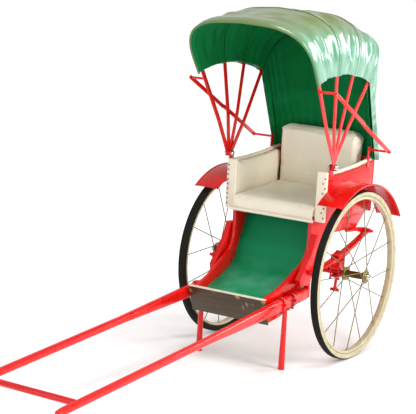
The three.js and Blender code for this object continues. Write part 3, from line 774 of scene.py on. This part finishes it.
# %% [markdown]
# ## The hood
# Each of the four iron hoops turns on one pin at each side. Canvas is stretched over them, panel
# by panel, and folds between them like a fan. Its shape follows a rule: a row of cloth runs
# from a line over one hoop to the same line over the next, so a panel is a grid between two
# curves. The curves come from the hoops' own sizes, and the cloth's own behaviour is added on
# the way: it hangs in a little between hoops, rises in a scallop at the hem, and creases
# downwards from the hoops.

# %% Lines over the hoops
PIN = Vector(JOINTS["hood_fold"]["pos_m"])
HOOPS = {  # lean in degrees, height of the crown, sideways place of the foot and hem height
    1: (-30.9, 804 * MM, 304.3 * MM, 486 * MM),
    2: (-8.1, 741 * MM, 299.3 * MM, 452 * MM),
    3: (13.8, 739 * MM, 294.3 * MM, 452 * MM),
    4: (35.0, 776 * MM, 289.3 * MM, 486 * MM),
}
FLARE = 20 * MM
COLUMNS = 150
ROWS = 18


def spline(points, per_span=8):
    """A smooth curve through points, each span split evenly."""
    p = [points[0], *points, points[-1]]
    line = []
    for a, b, c, d in zip(p, p[1:], p[2:], p[3:]):
        a, b, c, d = (np.array(q, float) for q in (a, b, c, d))
        for t in np.arange(per_span) / per_span:
            bend = 2 * a - 5 * b + 4 * c - d
            line.append(0.5 * (2 * b + (c - a) * t + bend * t * t + (3 * b - a - 3 * c + d) * t**3))
    return np.array([*line, points[-1]])


def evenly(line, count):
    """The same line as count + 1 points an equal way apart, and its length."""
    steps = np.r_[0, np.cumsum(np.linalg.norm(np.diff(line, axis=0), axis=1))]
    at = np.linspace(0, steps[-1], count + 1)
    return np.stack([np.interp(at, steps, axis) for axis in line.T], axis=1), steps[-1]


def hoop_line(k, lift, hem_shift=0.0):
    """Across hoop k from hem to hem, lifted off the iron, as x and height over the pin."""
    lean, crown, foot, hem = HOOPS[k]
    wide = foot + FLARE
    shoulder = [(6, 214), (13, 149), (34, 94), (68, 56), (118, 28), (186, 10)]
    half = [(wide - 4 * MM, hem + hem_shift)]
    half += [(wide + 6 * MM - dx * MM, crown - dz * MM) for dx, dz in shoulder]
    side = spline([*half, (0, crown)])
    line = np.vstack([side, side[-2::-1] * (-1, 1)])
    way = np.gradient(line, axis=0)
    way /= np.linalg.norm(way, axis=1)[:, None]
    outward = np.stack([way[:, 1], -way[:, 0]], axis=1)
    return line + lift * outward


def over_hoop(k, lift, shift=0.0, hem_shift=0.0, columns=COLUMNS):
    """The line in space, in metres, with its plane turned a few degrees more by shift."""
    line, length = evenly(hoop_line(k, lift, hem_shift), columns)
    t = math.radians(HOOPS[k][0] + shift)
    x, r = line.T
    return np.stack([x, PIN.y + r * math.sin(t), PIN.z + r * math.cos(t)], axis=1), length


print("front hoop's line", round(over_hoop(1, 0)[1], 3), "m long")


# %% A sheet from a grid
def out_of(grid):
    """Unit normals of a grid of points, away from the middle of the hood."""
    along = np.gradient(grid, axis=0)
    across = np.gradient(grid, axis=1)
    normal = np.cross(along, across)
    normal /= np.linalg.norm(normal, axis=2)[..., None] + 1e-12
    away = grid - np.array([0, PIN.y, PIN.z + 0.25])
    flip = np.sign((normal * away).sum(axis=2).mean())
    return normal * flip


def sheet_from(name, grid, thick, material):
    """A thin closed shell from a grid of points, with a UV map in metres named cloth."""
    rows, columns = grid.shape[:2]
    number = np.arange(rows * columns).reshape(rows, columns)
    quads = np.stack(
        [number[:-1, :-1], number[:-1, 1:], number[1:, 1:], number[1:, :-1]], axis=-1
    ).reshape(-1, 4)
    mesh = bpy.data.meshes.new(name)
    mesh.from_pydata(grid.reshape(-1, 3).tolist(), [], quads.tolist())
    down = np.linalg.norm(np.diff(grid, axis=0), axis=2).mean(axis=1)
    over = np.linalg.norm(np.diff(grid, axis=1), axis=2).mean(axis=0)
    v, u = np.r_[0, np.cumsum(down)], np.r_[0, np.cumsum(over)]
    lie = np.stack(np.meshgrid(u, v), axis=-1).reshape(-1, 2)
    uv = mesh.uv_layers.new(name="cloth")
    order = np.array([loop.vertex_index for loop in mesh.loops])
    uv.data.foreach_set("uv", lie[order].ravel())
    middle = grid[rows // 2, columns // 2]
    normal = out_of(grid)[rows // 2, columns // 2]
    mesh.update()
    face = mesh.polygons[(rows // 2 - 1) * (columns - 1) + columns // 2]
    if face.normal.dot(Vector(normal)) < 0:
        mesh.flip_normals()
    piece = link(name, mesh)
    wall = piece.modifiers.new("thickness", "SOLIDIFY")
    wall.thickness = thick
    wall.offset = -1
    settled(piece)
    for polygon in piece.data.polygons:
        polygon.use_smooth = True
    piece.data.materials.clear()
    piece.data.materials.append(material)
    return piece, (u[-1], v[-1])


def fold_between(piece):
    """Bakes a sheet's placement into its mesh and reads its points into an array; the sheet
    is not bent."""
    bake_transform(piece)
    count = len(piece.data.vertices)
    co = np.zeros(count * 3)
    piece.data.vertices.foreach_get("co", co)
    co = co.reshape(-1, 3)


# %% [markdown]
# ### Panels and lining
# The outer panels lie 11 mm over the irons' middle and the lining 6 mm under it, so the irons run
# between two cloths, as sewn pockets hold them. Creases are deepest at the shoulders and fade
# towards the crown. Every crease is worked out from the distance to the hem and between
# the hoops, so both layers and both ends of a panel meet exactly.

# %% Build the panels
COVER_LIFT = 11 * MM
LINING_LIFT = -6 * MM
CLOTH = 1.6 * MM
SHOULDER = 0.27  # metres from the hem to where the creases are deepest
CREASE_REACH = 0.2
SCALLOP = 9 * MM
SEAM = 0.02  # degrees between a hoop's middle and the edge of the cloth on each side


def creased(grid, length, amount, hang, seed):
    """Adds hang, creases and the hem's scallop to a flat grid between two hoops."""
    rows, columns = grid.shape[:2]
    v = np.linspace(0, 1, rows)[:, None]
    s = np.linspace(0, length, columns)[None, :]
    hem = np.minimum(s, length - s)
    tight = np.sin(np.pi * v) ** 0.8
    phase = seed + 1.7 * (s > length / 2)
    folds = 1 - 2 * np.abs(np.sin(np.pi * (2.7 * v + 1.6 * hem + phase)))
    folds = folds + 0.5 * np.cos(TURN * (3.9 * v - 2.3 * hem + 2 * phase))
    pulls = np.sin(TURN * (hem / 0.16 + 1.2 * v + 3 * phase)) * np.sin(np.pi * v) ** 2
    rise = np.exp(-(((hem - SHOULDER) / CREASE_REACH) ** 2)) + 0.3 * np.exp(-hem / 0.12)
    height = tight * (amount * folds * rise + 0.35 * amount * pulls) - hang * tight**1.5
    shaped = grid + out_of(grid) * height[..., None]
    shaped[..., 2] += SCALLOP * np.sin(np.pi * v) * np.exp(-hem / 0.08)
    return shaped


PANELS = {1: (1, 2), 2: (2, 3), 3: (3, 4)}
PAST_FRONT = -2.4  # degrees that the cover stands out past the front hoop
LIP_LIFT = 8 * MM  # where cover and lining meet, in front of the iron
for k, (front, rear) in PANELS.items():
    for name, lift, amount, hang, hem_shift, cloth in (
        ("hood_panel", COVER_LIFT, 7.0 * MM, 1 * MM, 0.0, coated_cloth),
        ("hood_lining", LINING_LIFT, 4.0 * MM, 9 * MM, 7 * MM, lining_cloth),
    ):
        a, length = over_hoop(front, lift, SEAM, hem_shift)
        b = over_hoop(rear, lift, -SEAM, hem_shift)[0]
        share = np.linspace(0, 1, ROWS + 1)[:, None, None]
        grid = creased(a * (1 - share) + b * share, length, amount, hang, 0.37 * k)
        if k == 1:
            lip = over_hoop(front, max(lift, LIP_LIFT), PAST_FRONT, hem_shift)[0]
            before = over_hoop(front, lift, PAST_FRONT / 2, hem_shift)[0]
            grid = np.concatenate([lip[None], before[None], grid])
        piece, (wide, deep) = sheet_from(f"{name}_{k}", grid, CLOTH, cloth)
        fold_between(piece)
        stands_for = [f"hood_cover_{k}"] if name == "hood_panel" else []
        belongs(piece, None, None, stands_for)
        under = [f"hood_hoop_{front}_finished"]
        print(piece.name, "cut", round(wide, 3), "x", round(deep, 3), "m")

# %% [markdown]
# ### Back curtain
# The curtain hangs from the rear hoop down behind the seat, gathered into pleats that open
# towards its foot. It is a grid again, between the hoop's line and a line round the seat's back,
# with a wave across it that grows on the way down.

# %% Build the curtain
PLEATS = 17
PLEAT_DEEP = 7 * MM
curtain_low, curtain_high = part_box("hood_curtain")
FOOT_X = 303 * MM
FOOT_BACK = curtain_high.y - 2 * MM
FOOT_SIDE = 46 * MM  # how far the curtain's side edges come forward at its foot
DROP = 26


def foot_line(inset):
    s = np.linspace(1, -1, 4 * COLUMNS + 1)
    part = np.sign(s) * np.minimum(1, np.abs(s) * 1.35)
    side = np.maximum(0, np.abs(s) - 0.74) / 0.26
    rear = FOOT_BACK - inset - FOOT_SIDE * side**1.5
    line = np.stack(
        [(FOOT_X - inset) * np.sin(part * np.pi / 2), rear, np.full_like(s, curtain_low.z)], axis=1
    )
    return evenly(line, COLUMNS)[0]


def hung_curtain(lift, inset, deep, seed, past):
    """past is how many degrees behind the rear hoop's middle the cloth turns downwards."""
    top = over_hoop(4, lift, past)[0]
    share = np.linspace(0, 1, DROP + 1)[:, None, None]
    grid = top * (1 - share) + foot_line(inset) * share
    v = share[..., 0]
    u = np.linspace(0, 1, COLUMNS + 1)[None, :]
    wander = 0.35 * np.sin(TURN * (2.1 * u + seed)) + 0.25 * np.sin(TURN * (0.8 * v + 3.3 * u))
    edge = np.clip(np.minimum(u, 1 - u) / 0.03, 0, 1)
    wave = np.cos(TURN * PLEATS * u + wander * 2) * (0.1 + 0.9 * v**0.7) * edge
    sag = 0.9 * np.sin(np.pi * v) * edge
    hung = grid + out_of(grid) * (deep * (wave - 0.6 - sag))[..., None]
    return np.concatenate([over_hoop(4, lift, SEAM)[0][None], hung])


for name, lift, inset, past, cloth, stands_for in (
    ("curtain_outside", COVER_LIFT, 0.0, 1.3, coated_cloth, ["hood_curtain"]),
    ("curtain_lining", LINING_LIFT, 9 * MM, 0.15, lining_cloth, []),
):
    grid = hung_curtain(lift, inset, PLEAT_DEEP, 0.2, past)
    piece, (wide, deep) = sheet_from(name, grid, CLOTH, cloth)
    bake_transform(piece)
    co = np.array([v.co for v in piece.data.vertices])
    rest = math.radians(HOOPS[4][0])
    lean = np.arctan2(co[:, 1] - PIN.y, co[:, 2] - PIN.z)
    foot_lean = np.arctan2(FOOT_BACK - PIN.y, max(curtain_low.z - PIN.z, 1e-3))
    share = np.clip((foot_lean - lean) / (foot_lean - rest), 0, 1)
    belongs(piece, None, None, stands_for)
    under = ["hood_hoop_4_finished", "rear_panel_finished"]
    print(name, "cut", round(wide, 3), "x", round(deep, 3), "m")

# %% [markdown]
# ### Rolled edge, seams and stitches
# The front edge is rolled round a cord and bound, and a welt covers each seam over a hoop.
# Both are round tubes that follow a line, so one tree sweeps them all: it takes a path of
# edges as its seed and draws a circle along it.

# %% The tube tree
tube_tree, given = new_tree("tube", {"Radius": "Float", "Sides": "Int"})
source = tube_tree.nodes["Group Input"].outputs["Geometry"]
path = put(tube_tree, "GeometryNodeMeshToCurve", {"Mesh": source})
round_off = put(
    tube_tree,
    "GeometryNodeCurvePrimitiveCircle",
    {"Resolution": given["Sides"], "Radius": given["Radius"]},
)
tube = put(
    tube_tree,
    "GeometryNodeCurveToMesh",
    {"Curve": path, "Profile Curve": round_off, "Fill Caps": True},
)
close_tree(tube_tree, tube, given["Finish"])
print("tube tree", len(tube_tree.nodes), "nodes")


def path_mesh(points):
    mesh = bpy.data.meshes.new("path")
    spans = [(i, i + 1) for i in range(len(points) - 1)]
    mesh.from_pydata([tuple(map(float, p)) for p in points], spans, [])
    return mesh


def tube_along(name, points, radius, material, body, sides=10):
    values = {"Radius": radius, "Sides": sides, "Finish": material}
    piece = grow(name, tube_tree, values, path_mesh(points))
    return belongs(piece, body, None)


LIP_R = 5.5 * MM
line = over_hoop(1, COVER_LIFT - 2 * MM, PAST_FRONT)[0]
tube_along("hood_rolled_edge", line, LIP_R, rolled_edge, "hoop_1", 12)
for k in (2, 3, 4):
    line = over_hoop(k, COVER_LIFT - 0.5 * MM)[0]
    tube_along(f"hood_seam_welt_{k}", line, 3.2 * MM, coated_cloth, f"hoop_{k}", 8)

# %% [markdown]
# ## Upholstery
# Seat, back and arms are pads of coir and cotton under tight vinyl. Foam or stuffing pushes a
# cover out until it crowns in the middle and is held at its seams, which is what a cloth
# simulation with a little pressure does. Each pad starts as a slightly smaller copy of its CAD
# solid, is remeshed evenly so that it can swell evenly, and may only move as far as a real pad
# of its size would. It is then held inside the room that its neighbours leave.

# %% The stuffing helper
VOXEL = 6 * MM
PRESSURE = 4.0
FRAMES = 20


def rounded_top(co, half, top, radius):
    """Pulls the two top corners of a pad, seen from the front, in to an arc."""
    side = np.abs(co[:, 0]) - (half - radius)
    over = co[:, 2] - (top - radius)
    far = np.hypot(side, over)
    pull = np.where((side > 0) & (over > 0) & (far > radius), radius / np.maximum(far, 1e-9), 1)
    co[:, 0] = np.where(pull < 1, np.sign(co[:, 0]) * (half - radius + side * pull), co[:, 0])
    co[:, 2] = np.where(pull < 1, top - radius + over * pull, co[:, 2])


def stuffed(node, shrink, most, room, corner=0.0):
    """shrink is how much smaller each side starts, most how far the cover may move, and room
    how far it may stand past the CAD solid on its (low, high) sides along each axis."""
    piece = merged_copy(node, f"{node}_stuffed")
    low, high = (np.array(end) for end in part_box(node))
    middle, size = (low + high) / 2, high - low
    factor = (size - 2 * np.array(shrink)) / size
    fit = Matrix.Translation(middle) @ Matrix.Diagonal((*factor, 1)) @ Matrix.Translation(-middle)
    piece.data.transform(fit)
    even = piece.modifiers.new("even_faces", "REMESH")
    even.mode = "VOXEL"
    even.voxel_size = VOXEL
    settled(piece)
    count = len(piece.data.vertices)
    start = np.zeros(count * 3)
    piece.data.vertices.foreach_get("co", start)
    start = start.reshape(-1, 3)
    cover = piece.modifiers.new("cover", "CLOTH")
    cover.settings.use_pressure = True
    cover.settings.uniform_pressure_force = PRESSURE
    cover.settings.effector_weights.gravity = 0
    cover.settings.quality = 4
    cover.collision_settings.use_collision = False
    for step in range(1, FRAMES + 1):
        bpy.context.scene.frame_set(step)
    graph = bpy.context.evaluated_depsgraph_get()
    swollen = np.array([v.co for v in piece.evaluated_get(graph).data.vertices])
    piece.modifiers.clear()
    bpy.context.scene.frame_set(1)
    move = swollen - start
    far = np.linalg.norm(move, axis=1)[:, None]
    start = start + move * np.minimum(1, most / np.maximum(far, 1e-9))
    room = np.array(room) * MM
    start = np.clip(start, low - room[:, 0], high + room[:, 1])
    if corner:
        rounded_top(start, high[0], start[:, 2].max(), corner)
    piece.data.vertices.foreach_set("co", start.ravel())
    finer = piece.modifiers.new("finer", "SUBSURF")
    finer.levels = finer.render_levels = 1
    settled(piece)
    for polygon in piece.data.polygons:
        polygon.use_smooth = True
    belongs(piece, BODY_OF[node], cream_vinyl, [node])
    print(node, len(piece.data.polygons), "faces")
    return piece


# %% Stuff the pads
stuffed("seat_cushion", [2 * MM] * 3, 14 * MM, [(0.3, 0.3), (4, 0), (0, 10)])
stuffed("backrest_cushion", [2 * MM] * 3, 14 * MM, [(6, 6), (9, 1), (0, 6)], 85 * MM)
for side in SIDES:
    inner = (6, 0) if side == "left" else (0, 6)
    stuffed(f"armrest_pad_{side}", [1 * MM] * 3, 8 * MM, [inner, (5, 3), (0, 4)])

# %% [markdown]
# ### Facings and piping
# The vinyl is wrapped over the front end of each arm and nailed to its board, and a stuffed
# welt runs along the top of the board and under the front of the seat, where it hides the
# tacks and takes the wear. The welts are tubes along a path; the facing is a block with round
# edges.

# %% Welts and arm facings
ARM_TOP_FROM = 0.9  # above this, a corner of an arm board lies on its top
corners = {tuple(round(c, 4) for c in v.co.yz) for v in NODES["arm_board_left"].data.vertices}
board_top = sorted(corner for corner in corners if corner[1] > ARM_TOP_FROM)
board_low, board_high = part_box("arm_board_left")
pad_low, pad_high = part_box("armrest_pad_left")
seat_low, seat_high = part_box("seat_cushion")
WELT = 9.5 * MM
FACING_OUT = 3 * MM
FACING_IN = 9 * MM
FACING_DEEP = 11 * MM
SEAT_WELT = 8 * MM


def rounded_block(name, low, high, radius):
    mesh = bpy.data.meshes.new(name)
    with edited(mesh) as shape:
        bmesh.ops.create_cube(shape, size=1)
        for vert in shape.verts:
            vert.co = Vector([(a + b) / 2 + c * (b - a) for a, b, c in zip(low, high, vert.co)])
    return rounded(link(name, mesh), radius, segments=4)


for side, sign in SIDES.items():
    x = sign * (board_low.x + board_high.x) / 2
    line = [(x, y, z - 2.5 * MM) for y, z in board_top]
    tube_along(f"arm_top_welt_{side}", line, WELT, cream_vinyl, "chassis", 14)
    inner, outer = sign * (pad_low.x - FACING_IN), sign * (board_high.x + FACING_OUT)
    front = board_low.y - FACING_DEEP
    facing = rounded_block(
        f"arm_front_facing_{side}",
        (min(inner, outer), front, board_low.z - 4 * MM),
        (max(inner, outer), front + FACING_DEEP + 4 * MM, board_top[0][1] + 7 * MM),
        5 * MM,
    )
    belongs(facing, "chassis", cream_vinyl)
line = [(x, seat_low.y + 7 * MM, seat_low.z + 6 * MM) for x in (seat_low.x, seat_high.x)]
tube_along("seat_front_welt", line, SEAT_WELT, cream_vinyl, "chassis", 14)
print("board top", board_top)

# %% [markdown]
# ## Nails, bolts and straps
# Upholstery nails, bolt heads and screws differ only in size and in how many sides they have,
# so one tree sets them all: it puts a small cone on each point of its seed mesh, turned to the
# direction that the point stores.

# %% The stud tree
STUD = {"Radius": "Float", "Top": "Float", "Height": "Float", "Sides": "Int"}
stud_tree, given = new_tree("studs", STUD)
source = stud_tree.nodes["Group Input"].outputs["Geometry"]
facing_way = put(
    stud_tree, "GeometryNodeInputNamedAttribute", {"Name": "facing"}, data_type="FLOAT_VECTOR"
)
turn_to = put(stud_tree, "FunctionNodeAlignRotationToVector", {"Vector": facing_way}, axis="Z")
head = put(
    stud_tree,
    "GeometryNodeMeshCone",
    {
        "Vertices": given["Sides"],
        "Radius Top": given["Top"],
        "Radius Bottom": given["Radius"],
        "Depth": given["Height"],
    },
)
heads = put(
    stud_tree,
    "GeometryNodeInstanceOnPoints",
    {"Points": source, "Instance": head, "Rotation": turn_to},
)
close_tree(stud_tree, heads, given["Finish"])


def studs(name, spots, radius, top, height, sides, material, slot, body="chassis"):
    """spots are (place, facing) pairs; each stud stands out of its surface along facing."""
    mesh = bpy.data.meshes.new(name)
    mesh.from_pydata([tuple(place) for place, _ in spots], [], [])
    way = mesh.attributes.new("facing", "FLOAT_VECTOR", "POINT")
    way.data.foreach_set("vector", np.array([tuple(facing) for _, facing in spots]).ravel())
    sizes = {"Radius": radius, "Top": top, "Height": height, "Sides": sides, "Finish": material}
    return belongs(grow(name, stud_tree, sizes, mesh), body, None)


# %% Nails on the arms
NAIL = dict(radius=5 * MM, top=2.2 * MM, height=4 * MM, sides=12)
NAIL_PITCH = 24 * MM
NAIL_EDGE = 6 * MM  # from the facing's outer edge
ZIGZAG = {"left": 11 * MM, "right": 0.0}  # how far every other nail is set in
BELOW_TOP = 15 * MM  # the row along the outside of the board
FORWARD, OUT, DOWN = Vector((0, -1, 0)), Vector((1, 0, 0)), Vector((0, 0, -1))
front = board_low.y - FACING_DEEP
rows = np.arange(pad_low.z + 8 * MM, pad_high.z - 40 * MM, NAIL_PITCH)
path = np.array([(0, y, z) for y, z in board_top])
along = evenly(path, int((board_top[-1][0] - board_top[0][0]) / NAIL_PITCH))[0][1:-1]
for side, sign in SIDES.items():
    spots = []
    for i, z in enumerate(rows):
        x = board_high.x - NAIL_EDGE - ZIGZAG[side] * (i % 2)
        spots.append((Vector((sign * x, front, z)), FORWARD))
    for _, y, z in along:
        place = Vector((sign * (board_high.x + 0.6 * MM), y, z - BELOW_TOP))
        spots.append((place, OUT * sign))
    studs(f"upholstery_nails_{side}", spots, material=old_brass, slot="hub_brass", **NAIL)
print("nails on an arm", len(spots))

# %% Straps round the shafts
STRAP_LONG = 22 * MM
STRAP_FIT = 0.4 * MM  # clear of the wood
STRAP_PROUD = 3 * MM
shaft = np.array([v.co for v in NODES["shaft_left"].data.vertices])
rear_ring = shaft[shaft[:, 1] > shaft[:, 1].max() - 1 * MM]
tip_ring = shaft[shaft[:, 1] < shaft[:, 1].min() + 1 * MM]
rear_end, tip_end = rear_ring.mean(axis=0), tip_ring.mean(axis=0)
HALF_X, _, HALF_Z = (rear_ring.max(axis=0) - rear_ring.min(axis=0)) / 2
CORNER = 0.55 * HALF_X  # how much of each corner of the band is cut off


def on_shaft(y):
    """The middle of the left shaft at y."""
    share = (y - rear_end[1]) / (tip_end[1] - rear_end[1])
    return rear_end + share * (tip_end - rear_end)


def strap(name, y, sign):
    """A flat iron band round a shaft at y: four loops of eight corners, joined in turn."""
    middle = on_shaft(y)
    loops = []
    for clear in (STRAP_FIT, STRAP_PROUD):
        a, b = HALF_X + clear, HALF_Z + clear
        ring = [(a, b - CORNER), (a - CORNER, b), (CORNER - a, b), (-a, b - CORNER)]
        loops.append(ring + [(-x, -z) for x, z in ring])
    inner, outer = loops
    verts = []
    for ring, end in ((inner, -1), (outer, -1), (outer, 1), (inner, 1)):
        row = y + end * STRAP_LONG / 2
        verts += [(sign * (middle[0] + x), row, middle[2] + z) for x, z in ring]
    faces = []
    for k in range(4):
        for i in range(8):
            j, m = (i + 1) % 8, (k + 1) % 4
            faces.append((k * 8 + i, k * 8 + j, m * 8 + j, m * 8 + i))
    mesh = bpy.data.meshes.new(name)
    mesh.from_pydata(verts, [], faces)
    with edited(mesh) as shape:
        bmesh.ops.recalc_face_normals(shape, faces=shape.faces)
    return belongs(rounded(link(name, mesh), 0.8 * MM), "chassis", iron_paint)


# %% Bolts on the irons
BOLT = dict(radius=8 * MM, top=7.4 * MM, height=7 * MM, sides=6)
BOLT_RISE = 5 * MM
EYE_IN = 13 * MM  # from the spring's end to the middle of its eye
EYE_PROUD = 9 * MM
AXLE_BACK = 275 * MM  # from the spring's front end to the axle
U_BOLT_HALF = 24 * MM
U_BOLT_FOOT = 392 * MM
STRAP_HALF = 46 * MM  # from the front leg to a strap
spring_low, spring_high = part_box("leaf_spring_left")
spring = np.array([v.co for v in NODES["leaf_spring_left"].data.vertices])
block_low, block_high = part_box("spring_seat_left")
leg_low, leg_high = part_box("front_leg_left")
leg_y = (leg_low.y + leg_high.y) / 2
for side, sign in SIDES.items():
    bolts = []
    for eye_y in (spring_low.y + EYE_IN, spring_high.y - EYE_IN):
        near = spring[np.abs(spring[:, 1] - eye_y) < 14 * MM][:, 2]
        place = Vector((sign * (spring_high.x + EYE_PROUD), eye_y, (near.min() + near.max()) / 2))
        bolts.append((place, OUT * sign))
    for dy in (-U_BOLT_HALF, U_BOLT_HALF):
        for x in (block_low.x + 4 * MM, block_high.x - 4 * MM):
            bolts.append((Vector((sign * x, spring_low.y + AXLE_BACK + dy, U_BOLT_FOOT)), DOWN))
    for end, dy in (("front", -STRAP_HALF), ("rear", STRAP_HALF)):
        y = leg_y + dy
        strap(f"shaft_strap_{side}_{end}", y, sign)
        middle_x, _, middle_z = on_shaft(y)
        for x in (-8 * MM, 8 * MM):
            under = Vector((sign * (middle_x + x), y, middle_z - HALF_Z - BOLT_RISE))
            bolts.append((under, DOWN))
        beside = Vector((sign * (middle_x + HALF_X + 4 * MM), y, middle_z))
        bolts.append((beside, OUT * sign))
    studs(f"bolt_heads_{side}", bolts, material=iron_paint, slot="red_iron", **BOLT)
print("bolts a side", len(bolts))

# %% Rolled edges on the mudguards, and the pivots' inner bolts
GUARD_EDGE = 4 * MM
guard_low, guard_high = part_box("mudguard_left")
guard = np.array([v.co for v in NODES["mudguard_left"].data.vertices])
dy, dz = guard[:, 1] - centre.y, guard[:, 2] - centre.z
guard_r = np.hypot(dy, dz).max() - GUARD_EDGE / 2
angles = np.arctan2(dy, dz)
arc = np.linspace(angles.min(), angles.max(), 60)
pivot_bolt = [(0, 0), (0, 15), (-4, 16), (-9, 12), (-13, 6), (-14, 0)]  # x and radius, in mm
edges = {"inner": guard_low.x + GUARD_EDGE, "outer": guard_high.x - GUARD_EDGE}
for side, sign in SIDES.items():
    for end, x in edges.items():
        line = [
            (sign * x, centre.y + guard_r * math.sin(t), centre.z + guard_r * math.cos(t))
            for t in arc
        ]
        name = f"mudguard_rolled_{end}_{side}"
        tube_along(name, line, GUARD_EDGE, iron_paint, "chassis", 10)
    bolt = turned(f"pivot_bolt_{side}", [(x * MM, r * MM) for x, r in pivot_bolt], 24)
    mirrored_to(bolt, side, Vector((sign * board_high.x, PIN.y, PIN.z)))
    belongs(bolt, "chassis", bright_plate)
print("mudguard edge", round(guard_r, 3), "m from the axle")
